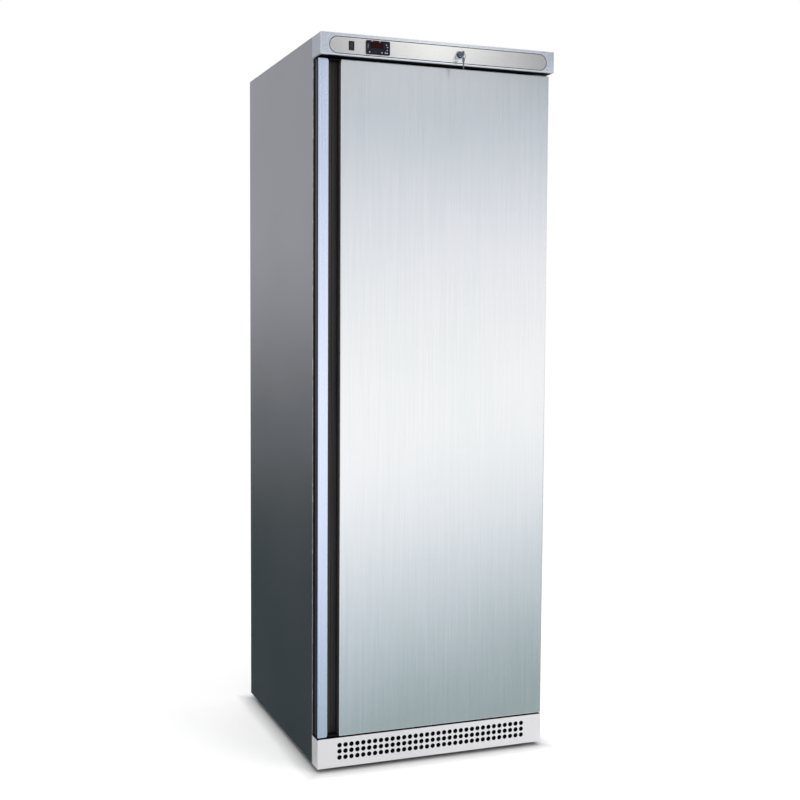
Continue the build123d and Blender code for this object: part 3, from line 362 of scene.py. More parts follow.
# Moulded ABS sprayed with silver paint: fine flakes under a soft lustre, with painted shade towards the ends
# and a painted highlight on its edges.
FASCIA_SILVER = Finish(
    "silver_painted_abs", "eef0f3", "e2e4e9", (0.2, 0.28), Grain.FLAKE, 0.5,
    relief=0.002, cloud=260.0, metallic=0.75, edge=1.0, wear_and_highlight="f6f7f9", coat=0.1, ends="dfe2e8",
)
# Brushed aluminium band: pale silver with level lines, with painted shade towards its ends and a painted
# highlight on its edges.
INLAY_SILVER = Finish(
    "brushed_aluminium_band", "fffdf8", "f6f3ed", (0.14, 0.2), Grain.BRUSHED, 0.7,
    stretch=(120.0, 1.0, 1.0), relief=0.002, cloud=300.0, metallic=0.85, edge=0.7, wear_and_highlight="fdfdfd",
    ends="d2d1d4",
)
# Moulded ABS, black: matt from the fine cells of its mould, greyer where it is handled.
BLACK_PLASTIC = Finish(
    "moulded_black_abs", "14151b", "0a0b10", (0.36, 0.55), Grain.MOULDED, 0.8,
    relief=0.03, cloud=60.0, edge=0.5, wear_and_highlight="3c3e44", shine=0.12,
)
# The same black plastic on the fascia's underside, dull and near black: darker than the other black plastic
# as painted shade under the fascia.
SHADED_UNDERSIDE_BLACK = Finish(
    "shaded_coarse_black_abs", "0a0b0e", "050507", (0.62, 0.8), Grain.MOULDED, 1.6,
    relief=0.05, cloud=60.0, edge=0.4, shine=0.06,
)
# Printed polycarbonate sheet over the controller: navy black and even, with a satin top coat.
PANEL_BLACK = Finish(
    "printed_polycarbonate", "161b2b", "0d111d", (0.3, 0.4), Grain.SMUDGED, 4.0,
    relief=0.003, cloud=40.0, edge=0.5, wear_and_highlight="3c4250", shine=0.2,
)
# Polished black polycarbonate of the keys and the rocker: smoother and deeper than its frame.
BUTTON_BLACK = Finish(
    "polished_black_plastic", "1b1c24", "0d0e13", (0.2, 0.3), Grain.SMUDGED, 3.0,
    relief=0.004, edge=0.35, wear_and_highlight="54565e", shine=0.35,
)
# Nickel under chrome on the lock: near mirror, with soft smears.
CHROME = Finish(
    "chrome_plate", "cdd1d8", "b4b9c2", (0.06, 0.14), Grain.SMUDGED, 4.0,
    relief=0.002, cloud=12.0, metallic=1.0, edge=0.25,
)
# Nickel-plated steel of the keys: darker and bluer than chrome, rubbed bright along its edges.
KEY_NICKEL = Finish(
    "nickel_plated_steel", "858b9c", "585e6d", (0.24, 0.38), Grain.SMUDGED, 2.0,
    relief=0.006, cloud=9.0, metallic=0.9, edge=0.3, wear_and_highlight="c9ccd6",
)
# Extruded aluminium, satin anodised: cool and even, with fine upright die lines and a painted highlight on
# its edges.
GRIP_ALUMINIUM = Finish(
    "anodised_aluminium", "d9e1f3", "c9d3e9", (0.22, 0.3), Grain.BRUSHED, 1.1,
    stretch=(1.0, 1.0, 260.0), relief=0.003, cloud=500.0, metallic=0.78, edge=0.9, wear_and_highlight="fbfcff",
)
# Extruded PVC of the recess: dark grey with long brownish streaks from the die.
CHANNEL_DARK = Finish(
    "extruded_dark_pvc", "484442", "272528", (0.38, 0.52), Grain.STREAKED, 3.2,
    stretch=(1.0, 1.0, 90.0), relief=0.03, edge=0.5, shine=0.3,
)
# Soft magnetic seal of plasticised PVC: black, matt and slightly dusty.
GASKET_RUBBER = Finish(
    "soft_black_pvc", "0c0c0e", "050506", (0.6, 0.75), Grain.MOULDED, 1.4,
    relief=0.03, edge=0.6, sheen=0.01, shine=0.08,
)
# Open-celled filter foam behind the air holes: soot black, matt and full of pores, its black standing in for
# the shade inside the plinth.
SHADE_FILTER_FOAM = Finish(
    "shade_black_filter_foam", "08080a", "030304", (0.8, 0.95), Grain.POROUS, 2.0,
    relief=0.15, edge=0.8, shine=0.04,
)
# Natural nylon of the hinge bushes: milky and waxy.
NYLON_WHITE = Finish(
    "natural_nylon", "ebe8dc", "dad6c6", (0.34, 0.48), Grain.SMUDGED, 3.0, relief=0.01, edge=0.4,
)
# Steel wire dipped in white plastic: smooth, slightly uneven in thickness.
SHELF_WIRE = Finish(
    "plastic_coated_wire", "eff0f0", "dfe1e2", (0.24, 0.36), Grain.PEEL, 7.0,
    relief=0.03, edge=0.5, coat=0.25,
)
# Roll-bonded aluminium of the cold plate: dull silver with level rolling lines.
COLD_PLATE = Finish(
    "rolled_aluminium", "d3d6d9", "b6babf", (0.34, 0.5), Grain.BRUSHED, 1.8,
    stretch=(60.0, 1.0, 1.0), relief=0.008, metallic=0.9, edge=0.8,
)
# Baked black enamel of the compressor shell: glossy with sprayed ripple.
BLACK_ENAMEL = Finish(
    "baked_black_enamel", "1f2023", "111214", (0.22, 0.36), Grain.PEEL, 4.0,
    relief=0.03, edge=0.8, wear_and_highlight="5b5d60", coat=0.3,
)
# Thin black dip paint on the condenser's steel wires: satin, grey where wires are welded.
CONDENSER_BLACK = Finish(
    "black_dip_paint", "2b2c2e", "18191a", (0.36, 0.52), Grain.SMUDGED, 4.0,
    relief=0.02, edge=0.4, wear_and_highlight="6a6a69",
)
# Drawn copper of the drier: pink where clean, browner where it has been heated.
COPPER = Finish(
    "drawn_copper", "c98a66", "9a5c41", (0.24, 0.42), Grain.SMUDGED, 6.0,
    relief=0.01, cloud=22.0, metallic=1.0, edge=0.5,
)
# White screen ink of the marks beside the buttons.
WHITE_INK = Finish(
    "white_screen_ink", "e8e9ec", "cfd1d6", (0.4, 0.55), Grain.SMUDGED, 1.0, relief=0.004, edge=0.1,
)


@dataclass(frozen=True)
class SmokedAcrylic(Surface):
    """Dark red acrylic over the display: deep, glossy and lighter where it is thin."""

    name: str = "smoked_red_acrylic"
    light: str = "360509"
    dark: str = "120203"
    pitch: float = 6.0

    def shade(self, tree: Tree, place: Socket) -> Socket:
        """Adds the haze and the glossy surface.

        Args:
            tree: The material's empty node tree.
            place: Object coordinates.

        Returns:
            The shader.
        """
        haze = noise(tree, place, self.pitch, 2.0)
        inputs = {
            "Base Color": mixed(tree, haze, linear(self.dark), linear(self.light)),
            "Roughness": mapped(tree, haze, 0.0, 1.0, 0.06, 0.16), "IOR": 1.49, "Specular IOR Level": 0.1,
        }
        return add_node(tree, "ShaderNodeBsdfPrincipled", inputs)


WINDOW_RED = SmokedAcrylic()


# ---------------------------------------------------------------- shaping


def once(items: Iterable) -> list:
    """Returns items without doubles, in their first order."""
    return list(dict.fromkeys(items))


def only(kind: type, items: Iterable) -> list:
    """Returns the items of one kind."""
    return [item for item in items if isinstance(item, kind)]


def seat(spot: Point, way: Point) -> Matrix:
    """Returns the matrix that moves the origin to a spot and lays Z along a direction."""
    return Matrix.Translation(spot) @ Vector(way).to_track_quat("Z", "Y").to_matrix().to_4x4()


def row_of(count: int, pitch: float) -> list[float]:
    """Returns evenly spaced places with their middle at zero."""
    return [(number - (count - 1) / 2) * pitch for number in range(count)]


def rectangle(left: float, base: float, right: float, top: float) -> list[Pair]:
    """Returns the corners of a rectangle."""
    return [(left, base), (right, base), (right, top), (left, top)]


def limits(node: str) -> tuple[Vector, Vector, Vector]:
    """Returns the lowest corner, the highest corner and the middle of a CAD node, in mm."""
    low, high = (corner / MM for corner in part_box(node))
    return low, high, (low + high) / 2


def front_of(node: str, grow: float = 0.0) -> list[Pair]:
    """Returns the corners of a CAD node's front as X and Z, moved outwards by a distance."""
    low, high, _ = limits(node)
    return rectangle(low.x - grow, low.z - grow, high.x + grow, high.z + grow)


class Axis(Enum):
    """The three directions of the shared frame."""

    X = 0
    Y = 1
    Z = 2

    def point(self, level: float, pair: Pair) -> Vector:
        """Returns the point at a level along this axis, with a pair on the two others."""
        return Vector((*pair[: self.value], level, *pair[self.value :]))

    def way(self) -> Vector:
        """Returns the unit vector of this axis."""
        return self.point(1.0, (0.0, 0.0))


class Shape:
    """A mesh in the making, in millimetres, shaped by bmesh operators."""

    BEVEL = {"offset_type": "OFFSET", "profile": 0.5, "clamp_overlap": True, "material": -1}

    def __init__(self) -> None:
        """Starts with nothing."""
        self.mesh = bmesh.new()

    def box(self, low: Point, high: Point) -> list:
        """Adds a box.

        Args:
            low: Its lowest corner.
            high: Its highest corner.

        Returns:
            Its vertices.
        """
        made = bmesh.ops.create_cube(self.mesh, size=1.0)["verts"]
        bmesh.ops.scale(self.mesh, vec=Vector(high) - Vector(low), verts=made)
        bmesh.ops.translate(self.mesh, vec=(Vector(high) + Vector(low)) / 2, verts=made)
        return made

    def rod(self, start: Point, end: Point, radius: float, sides: int = 12) -> list:
        """Adds a round bar.

        Args:
            start: Middle of its first end.
            end: Middle of its other end.
            radius: Its radius.
            sides: Flat sides round it.

        Returns:
            Its vertices.
        """
        run = Vector(end) - Vector(start)
        return bmesh.ops.create_cone(
            self.mesh, cap_ends=True, segments=sides, radius1=radius, radius2=radius, depth=run.length,
            matrix=seat((Vector(start) + Vector(end)) / 2, run),
        )["verts"]

    def ring(self, centre: Point, way: Point, radius: float, sides: int) -> list:
        """Adds a ring.

        Args:
            centre: Its middle.
            way: The direction that it looks along.
            radius: Its radius.
            sides: How many edges it has.

        Returns:
            Its edges.
        """
        made = bmesh.ops.create_circle(
            self.mesh, cap_ends=False, segments=sides, radius=radius, matrix=seat(centre, way)
        )["verts"]
        return once(edge for vert in made for edge in vert.link_edges)

    def outline(
        self, axis: Axis, level: float, points: Sequence[Pair], radii: Sequence[float] = (), steps: int = 4
    ) -> Face:
        """Adds a flat face whose corners are rounded.

        Args:
            axis: The direction that the face looks along.
            level: Its place along that axis.
            points: Its corners, as pairs on the two other axes.
            radii: The radius of each corner, or one for all of them.
            steps: Flat steps in each round corner.

        Returns:
            The face.
        """
        corners = [self.mesh.verts.new(axis.point(level, pair)) for pair in points]
        face = self.mesh.faces.new(corners)
        for corner, radius in zip(corners, radii if len(radii) != 1 else [radii[0]] * len(corners)):
            if radius:
                made = bmesh.ops.bevel(
                    self.mesh, geom=[corner], offset=radius, segments=steps, affect="VERTICES", **self.BEVEL
                )
                face = made["verts"][0].link_faces[0]
        return face

    def loop(self, *outline: object) -> list:
        """Adds a closed line with rounded corners.

        Args:
            outline: What `outline` takes.

        Returns:
            Its edges.
        """
        face = self.outline(*outline)
        edges = list(face.edges)
        bmesh.ops.delete(self.mesh, geom=[face], context="FACES_ONLY")
        return edges

    def fill(self, edges: Iterable, way: Vector) -> list:
        """Fills the flat area between closed lines and returns the new faces."""
        made = bmesh.ops.triangle_fill(self.mesh, use_beauty=True, edges=list(edges), normal=way)
        return only(Face, made["geom"])

    def push(self, faces: list, way: Vector) -> list:
        """Extrudes faces into a block.

        Args:
            faces: The faces, which stay as its first end.
            way: How far and where it goes.

        Returns:
            All its vertices.
        """
        start = once(vert for face in faces for vert in face.verts)
        made = bmesh.ops.extrude_face_region(self.mesh, geom=faces, use_keep_orig=True)["geom"]
        ends = only(Vert, made)
        bmesh.ops.translate(self.mesh, vec=way, verts=ends)
        return [*start, *ends]

    def prism(self, axis: Axis, low: float, high: float, *outline: object) -> list:
        """Adds a block between two levels, with what `outline` takes, and returns its vertices."""
        return self.push([self.outline(axis, low, *outline)], axis.way() * (high - low))

    def plate(self, axis: Axis, loops: Iterable, thick: float) -> list:
        """Fills closed lines, gives the plate its thickness and returns its vertices."""
        return self.push(self.fill(loops, axis.way()), axis.way() * thick)

    def soften(self, made: Iterable, width: float, segments: int = 2, angle: float = 30.0) -> None:
        """Bevels the sharp edges among some vertices.

        Args:
            made: The vertices.
            width: Width of the bevel.
            segments: Steps across it.
            angle: Edges that turn by more than this many degrees are sharp.
        """
        group = once(vert for vert in made if vert.is_valid)
        inside = set(group)
        faces = once(face for vert in group for face in vert.link_faces)
        bmesh.ops.recalc_face_normals(self.mesh, faces=faces)
        sharp = [
            edge
            for edge in once(edge for vert in group for edge in vert.link_edges)
            if len(edge.link_faces) == 2
            and inside.issuperset(edge.verts)
            and edge.calc_face_angle(0.0) > math.radians(angle)
        ]
        bmesh.ops.bevel(self.mesh, geom=sharp, offset=width, segments=segments, affect="EDGES", **self.BEVEL)

    def turned(self, axis: Axis, centre: Point, profile: Sequence[Pair], steps: int) -> None:
        """Spins a profile all the way round in an empty shape.

        Args:
            axis: The axis of the spin.
            centre: A point on it.
            profile: Radius and place along the axis of each point.
            steps: Flat sides round it.
        """
        side = (Axis.X if axis is Axis.Z else Axis.Z).way()
        points = [Vector(centre) + side * radius + axis.way() * along for radius, along in profile]
        verts = [self.mesh.verts.new(point) for point in points]
        edges = [self.mesh.edges.new(pair) for pair in zip(verts, verts[1:])]
        bmesh.ops.spin(
            self.mesh, geom=[*verts, *edges], cent=centre, axis=axis.way(), dvec=(0, 0, 0),
            angle=math.tau, steps=steps, use_merge=True, use_duplicate=False,
        )
        bmesh.ops.remove_doubles(self.mesh, verts=self.mesh.verts, dist=1e-4)

    def wall(self, thick: float) -> None:
        """Gives an open skin, whose front looks along -Y, a wall that grows inwards.

        Args:
            thick: Thickness of the wall.
        """
        bmesh.ops.remove_doubles(self.mesh, verts=self.mesh.verts, dist=1e-4)
        bmesh.ops.recalc_face_normals(self.mesh, faces=self.mesh.faces)
        if sum(face.normal.y * face.calc_area() for face in self.mesh.faces) > 0:
            bmesh.ops.reverse_faces(self.mesh, faces=self.mesh.faces)
        bmesh.ops.solidify(self.mesh, geom=list(self.mesh.faces), thickness=thick)

    def open_at(self, axis: Axis, level: float) -> list:
        """Returns the open edges that lie at a level along an axis."""
        near = {vert for vert in self.mesh.verts if abs(vert.co[axis.value] - level) < TOUCH}
        return [edge for edge in self.mesh.edges if edge.is_boundary and near.issuperset(edge.verts)]

    def drawn(self, edges: list, way: Point) -> list:
        """Draws open edges out into strips.

        Args:
            edges: The edges.
            way: How far and where they go.

        Returns:
            The far edges.
        """
        made = bmesh.ops.extrude_edge_only(self.mesh, edges=edges)["geom"]
        ends = only(Vert, made)
        bmesh.ops.translate(self.mesh, vec=way, verts=ends)
        return [edge for edge in only(Edge, made) if set(ends).issuperset(edge.verts)]

    def bent(self, edges: list, centre: Point, axis: Point, angle: float, steps: int) -> list:
        """Spins open edges round a centre.

        Args:
            edges: The edges.
            centre: The centre.
            axis: The axis of the spin.
            angle: How far they turn, in degrees.
            steps: Flat steps on the way.

        Returns:
            The far edges.
        """
        made = bmesh.ops.spin(
            self.mesh, geom=edges, cent=centre, axis=axis, dvec=(0, 0, 0),
            angle=math.radians(angle), steps=steps, use_merge=False, use_duplicate=False,
        )
        return only(Edge, made["geom_last"])


class Pipe:
    """A round pipe drawn out of a ring: straight runs by extrusion, bends by spinning."""

    def __init__(self, shape: Shape, start: Point, heading: Point, radius: float, sides: int = 10) -> None:
        """Starts a pipe.

        Args:
            shape: The shape that it belongs to.
            start: Where it starts.
            heading: The way it leaves.
            radius: Its radius.
            sides: Flat sides round it.
        """
        self.shape = shape
        self.first = self.ring = shape.ring(start, heading, radius, sides)

    def run(self, way: Point) -> "Pipe":
        """Draws the pipe straight on by a vector."""
        self.ring = self.shape.drawn(self.ring, way)
        return self

    def bend(self, centre: Point, axis: Axis, angle: float, steps: int = 5) -> "Pipe":
        """Bends the pipe round a centre by an angle in degrees."""
        self.ring = self.shape.bent(self.ring, centre, axis.way(), angle, steps)
        return self

    def close(self) -> None:
        """Closes both ends with flat caps."""
        for ring in (self.first, self.ring):
            bmesh.ops.edgeloop_fill(self.shape.mesh, edges=ring)


# ---------------------------------------------------------------- assemblies


def linked(name: str, data: bpy.types.ID) -> bpy.types.Object:
    """Puts data into the scene.

    Args:
        name: Name of the object.
        data: Its mesh, light or camera.

    Returns:
        The new object, at the origin.
    """
    made = bpy.data.objects.new(name, data)
    bpy.context.scene.collection.objects.link(made)
    return made


class Assembly:
    """What every sub-assembly shares: laying a shape out as a piece and dressing CAD nodes."""

    def add(
        self, name: str, shape: Shape, finish: Surface, body: str, slot: str, *stands_for: str,
        sharp: float = 32.0,
    ) -> None:
        """Makes a piece of a shape, in metres, and hangs it on its body.

        Args:
            name: Name of the piece.
            shape: The shape, which is used up.
            finish: Its finish.
            body: The body that it moves with.
            slot: The record's material slot; not used.
            stands_for: The CAD nodes that it stands for.
            sharp: Edges that turn by more than this many degrees stay sharp.
        """
        bmesh.ops.remove_doubles(shape.mesh, verts=shape.mesh.verts, dist=1e-5)
        bmesh.ops.recalc_face_normals(shape.mesh, faces=shape.mesh.faces)
        bmesh.ops.scale(shape.mesh, vec=(MM, MM, MM), verts=shape.mesh.verts)
        mesh = bpy.data.meshes.new(name)
        shape.mesh.to_mesh(mesh)
        shape.mesh.free()
        mesh.shade_smooth()
        mesh.set_sharp_from_angle(angle=math.radians(sharp))
        mesh.materials.append(finish.material())
        piece = linked(name, mesh)
        evened = piece.modifiers.new("even_flats", "WEIGHTED_NORMAL")
        evened.keep_sharp = True
        evened.weight = 100
        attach(piece, body)
        if stands_for:
            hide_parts(*stands_for)
        log.info("%s: %d faces on %s", name, len(mesh.polygons), body)

    def dress(self, finish: Surface, *nodes: str) -> None:
        """Gives CAD nodes that keep their own mesh a finish.

        Args:
            finish: The finish.
            nodes: Names of the nodes.
        """
        for name in nodes:
            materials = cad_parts[name].data.materials
            if not materials:
                materials.append(None)
            for number in range(len(materials)):
                materials[number] = finish.material()
            log.info("%s: dressed as %s", name, finish.name)


@dataclass
class Cabinet(Assembly):
    """The insulated body: outer sheet, zinc back, foam, liner and base frame."""

    def build(self) -> None:
        """Dresses the nodes of the body."""
        self.dress(CABINET_STEEL, "cabinet_wrapper")
        self.dress(ZINC_SHEET, "back_panel")
        self.dress(FOAM, "foam_insulation")
        self.dress(LINER_WHITE, "inner_liner")
        self.dress(CHASSIS_BLACK, "base_frame")


@dataclass
class Plinth(Assembly):
    """White plinth with rows of round air holes.

    Attributes:
        wall: Thickness of its sheet.
        corner: Radius of its folds.
        columns: Holes in a row.
        rows: Rows of holes.
        pitch: Distance between the holes.
        hole: Radius of a hole.
        rise: Height of the middle row over its lower edge.
        lap: Clearance of its top fold from the cabinet's front.
        steps: Flat steps in a fold.
        strip: Thickness of the black strip on its ledge, under the door, which stands in for the shade there.
        strip_inset: Distance of that strip from the ledge's front and ends.
        mat: Thickness of the black filter mat behind the air holes, which stands in for the shade inside the
            plinth.
        mat_gap: Distance of the mat from the sheet in front of it.
        mat_lap: How far the mat reaches past the middles of the outer holes.
    """

    wall: float = 1.0
    corner: float = 1.8
    columns: int = 33
    rows: int = 3
    pitch: float = 15.26
    hole: float = 5.9
    rise: float = 38.5
    lap: float = 3.5
    steps: int = 4
    strip: float = 0.9
    strip_inset: float = 0.9
    mat: float = 5.0
    mat_gap: float = 0.3
    mat_lap: float = 9.0

    def build(self) -> None:
        """Builds the pierced sheet with its folds, and as painted shade the black strip on it and the black
        mat behind it.
        """
        low, high, _ = limits("kickplate_grille")
        left, right, top = low.x + self.corner, high.x - self.corner, high.z - self.corner
        shape = Shape()
        edges = shape.loop(Axis.Y, low.y, rectangle(left, low.z, right, top))
        for z in row_of(self.rows, self.pitch):
            for x in row_of(self.columns, self.pitch):
                edges += shape.ring((x, low.y, low.z + self.rise + z), Axis.Y.way(), self.hole, 14)
        shape.fill(edges, -Axis.Y.way())
        front = low.y + self.corner
        depth = high.y - front
        brim = shape.open_at(Axis.Z, top)
        ends = [(shape.open_at(Axis.X, line), line, turn) for line, turn in ((left, -90), (right, 90))]
        folded = shape.bent(brim, (0, front, top), Axis.X.way(), -90, self.steps)
        shape.drawn(folded, (0, depth - self.lap, 0))
        for edges, line, turn in ends:
            folded = shape.bent(edges, (line, front, 0), Axis.Z.way(), turn, self.steps)
            shape.drawn(folded, (0, depth, 0))
        shape.wall(self.wall)
        self.add("plinth_grille", shape, PLINTH_WHITE, "cabinet", "kickplate_white", "kickplate_grille")
        # Painted shade: the black strip stands in for the shade under the door, and the black mat for the
        # shade inside the holes.
        inset = self.strip_inset
        near = (low.x + inset, low.y + inset, high.z)
        far = (-near[0], high.y - self.lap, high.z + self.strip)
        self._block("ledge_shade_strip", GASKET_RUBBER, near, far, 0.36)
        half = (self.columns - 1) / 2 * self.pitch + self.mat_lap
        rise = (self.rows - 1) / 2 * self.pitch + self.mat_lap
        front, middle = low.y + self.wall + self.mat_gap, low.z + self.rise
        near, far = (-half, front, middle - rise), (half, front + self.mat, middle + rise)
        self._block("shade_filter_mat", SHADE_FILTER_FOAM, near, far, 0.8)

    def _block(self, name: str, finish: Surface, low: Point, high: Point, edge: float) -> None:
        """Adds a soft block on the cabinet.

        Args:
            name: Name of the piece.
            finish: Its finish.
            low: Its lowest corner.
            high: Its highest corner.
            edge: Width of its bevels.
        """
        shape = Shape()
        shape.soften(shape.box(low, high), edge)
        self.add(name, shape, finish, "cabinet", "gasket_rubber")


@dataclass
class Fascia(Assembly):
    """Silver fascia with a sunk band, over the door.

    Attributes:
        corner: Radius of its outer edges.
        wall: Its wall.
        pocket_inset: Distance of the band's pocket from the fascia's ends.
        pocket_height: Height of the pocket.
        pocket_margin: Distance of the pocket from the lower edge.
        pocket_depth: Depth of the pocket.
        groove: Width of the groove round the band.
        groove_depth: Depth of that groove.
        shade_ring_depth: Depth behind the front of the black ring in the groove, which stands in for the
            groove's shade.
        steps: Flat steps in each quarter of the pocket's round ends.
        laps: How far the rim of each control covers the edge of its opening.
    """

    corner: float = 3.0
    wall: float = 2.0
    pocket_inset: float = 21.0
    pocket_height: float = 40.0
    pocket_margin: float = 4.0
    pocket_depth: float = 1.4
    groove: float = 1.5
    groove_depth: float = 3.4
    shade_ring_depth: float = 0.5
    steps: int = 14
    laps: tuple[tuple[str, float], ...] = (
        ("switch_frame", 1.4), ("controller_body", 2.9), ("lock_barrel", 1.0),
    )

    def build(self) -> None:
        """Builds the shell and the black ring in its groove, painted shade for the groove, and dresses the
        band and the base.
        """
        self.dress(INLAY_SILVER, "fascia_inlay")
        self.dress(SHADED_UNDERSIDE_BLACK, "fascia_base")
        self._shell()
        # Painted shade: a black ring fills the groove round the band, where the groove's shade falls.
        shape = Shape()
        loops = self._stadium(shape, TOUCH, self.shade_ring_depth)
        loops += self._stadium(shape, self.groove - TOUCH, self.shade_ring_depth)
        shape.plate(Axis.Y, loops, self.groove_depth - self.shade_ring_depth - TOUCH)
        self.add("groove_shade_ring", shape, GASKET_RUBBER, "cabinet", "gasket_rubber")

    def _shell(self) -> None:
        """Builds the shell: a rounded box, open at its back and below, with a pocket in its front."""
        low, high, _ = limits("fascia_housing")
        shape = Shape()
        mesh = shape.mesh
        shape.soften(shape.box(low, (high.x, high.y + 2 * self.corner, high.z)), self.corner, 5)
        bmesh.ops.bisect_plane(
            mesh, geom=[*mesh.verts, *mesh.edges, *mesh.faces], dist=1e-4,
            plane_co=(0, high.y, 0), plane_no=Axis.Y.way(), clear_outer=True,
        )
        bmesh.ops.delete(mesh, geom=[face for face in mesh.faces if face.normal.z < -0.999], context="FACES")
        front = next(face for face in mesh.faces if face.normal.y < -0.999)
        rim = list(front.edges)
        bmesh.ops.delete(mesh, geom=[front], context="FACES_ONLY")
        mouth = self._stadium(shape, 0.0, 0.0)
        shape.fill([*rim, *mouth], -Axis.Y.way())
        sunk = shape.drawn(mouth, (0, self.groove_depth, 0))
        island = self._stadium(shape, self.groove, self.groove_depth)
        shape.fill([*sunk, *island], -Axis.Y.way())
        floor = shape.drawn(island, (0, self.pocket_depth - self.groove_depth, 0))
        level = low.y + self.pocket_depth
        for node, lap in self.laps:
            near, far, middle = limits(node)
            if node == "lock_barrel":
                centre, radius = (middle.x, level, middle.z), (far.x - near.x) / 2 - lap
                floor += shape.ring(centre, Axis.Y.way(), radius, 32)
            else:
                floor += shape.loop(Axis.Y, level, front_of(node, -lap))
        shape.fill(floor, -Axis.Y.way())
        shape.wall(self.wall)
        self.add("fascia_shell", shape, FASCIA_SILVER, "cabinet", "fascia_silver", "fascia_housing")

    def _stadium(self, shape: Shape, inset: float, depth: float) -> list:
        """Adds an outline with half-round ends, parallel to the pocket's.

        Args:
            shape: The shape that it belongs to.
            inset: Distance in from the pocket's outline.
            depth: Distance behind the shell's front.

        Returns:
            Its edges.
        """
        low, high, _ = limits("fascia_housing")
        left, right = low.x + self.pocket_inset + inset, high.x - self.pocket_inset - inset
        base = low.z + self.pocket_margin + inset
        top = base + self.pocket_height - 2 * inset
        radius = (top - base) / 2 - TOUCH
        return shape.loop(Axis.Y, low.y + depth, rectangle(left, base, right, top), [radius], self.steps)


@dataclass
class Controls(Assembly):
    """Mains switch and temperature controller.

    Attributes:
        rim: Width of the switch frame's rim.
        rim_corner: Radius of its corners.
        sill: Width of the frame above and below the rocker.
        rocker_fall: How much deeper the rocker's lower edge lies than its upper one.
        rocker_nose: Radius of its upper edge, which swings past the frame.
        flange: How far the controller stands out.
        corner: Radius of the controller's corners.
        well: Gap round each button.
        travel: Room behind each button.
        ink: Thickness of the printed marks.
        dot: Radius of a printed dot.
        dots: Places of the dots, from the controller's lower left corner.
        arrows: Places of the arrows, and 1 for up or -1 for down.
        bars: Places of the level bars.
        button_bars: Places of the bars on each marked button, from its middle.
    """

    rim: float = 1.5
    rim_corner: float = 1.2
    sill: float = 1.9
    rocker_fall: float = 2.9
    rocker_nose: float = 1.4
    flange: float = 3.0
    corner: float = 2.6
    well: float = 0.3
    travel: float = 0.4
    ink: float = 0.05
    dot: float = 1.1
    dots: tuple[Pair, ...] = ((14.3, 29.9), (33.3, 29.9), (51.6, 11.6))
    arrows: tuple[Point, ...] = ((50.0, 24.0, 1), (52.4, 18.0, -1))
    bars: tuple[Pair, ...] = ((4.2, 13.6), (4.2, 16.4), (4.2, 19.2), (4.2, 22.0))
    button_bars: tuple[tuple[int, tuple[float, ...]], ...] = ((1, (-2.0,)), (3, (2.6,)), (4, (-2.2, 2.0)))

    def build(self) -> None:
        """Builds the switch, the controller, its window, buttons and marks."""
        self._switch()
        self._rocker()
        self._controller()
        self._marks()

    def _switch(self) -> None:
        """Builds the switch frame with its well."""
        low, high, middle = limits("switch_frame")
        near, far, _ = limits("power_rocker")
        half = (far.x - near.x) / 2 + self.well
        rise = (high.z - low.z) / 2 - self.sill
        well = rectangle(middle.x - half, middle.z - rise, middle.x + half, middle.z + rise)
        rim, back = self.rim, low.y + self.rim
        shape = Shape()
        loops = shape.loop(Axis.Y, low.y, front_of("switch_frame"), [self.rim_corner])
        loops += shape.loop(Axis.Y, low.y, well, [0.4], 2)
        shape.soften(shape.plate(Axis.Y, loops, rim), 0.35)
        loops = shape.loop(Axis.Y, back, front_of("switch_frame", -rim)) + shape.loop(Axis.Y, back, well)
        shape.plate(Axis.Y, loops, high.y - back - rim)
        shape.box((low.x + rim, high.y - rim, low.z + rim), (high.x - rim, high.y, high.z - rim))
        self.add("switch_bezel", shape, BLACK_PLASTIC, "cabinet", "black_plastic", "switch_frame")

    def _rocker(self) -> None:
        """Builds the rocker, whose two faces meet in a soft hollow at its pivot."""
        low, high, middle = limits("power_rocker")
        rise = (high.z - low.z) / 2
        section = [
            (low.y + self.rocker_fall, middle.z - rise + 0.2), (high.y, middle.z - rise * 0.62),
            (high.y, middle.z + rise * 0.62), (low.y, middle.z + rise - 0.35),
            (low.y + self.rocker_fall * 0.62, middle.z),
        ]
        shape = Shape()
        made = shape.prism(Axis.X, low.x, high.x, section, [0.5, 0.0, 0.0, self.rocker_nose, 3.0])
        shape.soften(made, 0.45, 3, 40)
        self.add("rocker_cap", shape, BUTTON_BLACK, "rocker", "button_black", "power_rocker", sharp=40)

    def _controller(self) -> None:
        """Builds the controller's housing with its recess and wells, the window and the buttons."""
        low, high, _ = limits("controller_body")
        buttons = {f"controller_button_{number}": number for number in range(1, 5)}
        shape = Shape()
        loops = shape.loop(Axis.Y, low.y, front_of("controller_body"), [self.corner], 6)
        loops += shape.loop(Axis.Y, low.y, front_of("controller_window", 0.1), [1.0])
        for node in buttons:
            loops += shape.loop(Axis.Y, low.y, front_of(node, self.well), [0.9])
        shape.soften(shape.plate(Axis.Y, loops, self.flange - 0.3), 0.5, 3)
        inset, back = self.flange, low.y + self.flange
        made = shape.box((low.x + inset, back - 0.4, low.z + inset), (high.x - inset, high.y, high.z - inset))
        shape.soften(made, 1.0)
        self.add("controller_housing", shape, PANEL_BLACK, "cabinet", "black_plastic", "controller_body")
        low, high, _ = limits("controller_window")
        shape = Shape()
        shape.soften(shape.prism(Axis.Y, low.y, high.y, front_of("controller_window"), [1.0], 5), 0.25)
        self.add("display_window", shape, WINDOW_RED, "cabinet", "window_red", "controller_window")
        for node, number in buttons.items():
            low, high, _ = limits(node)
            shape = Shape()
            shape.soften(shape.prism(Axis.Y, low.y, high.y - self.travel, front_of(node), [0.8]), 0.4, 3)
            self.add(f"button_cap_{number}", shape, BUTTON_BLACK, f"button_{number}", "button_black", node)

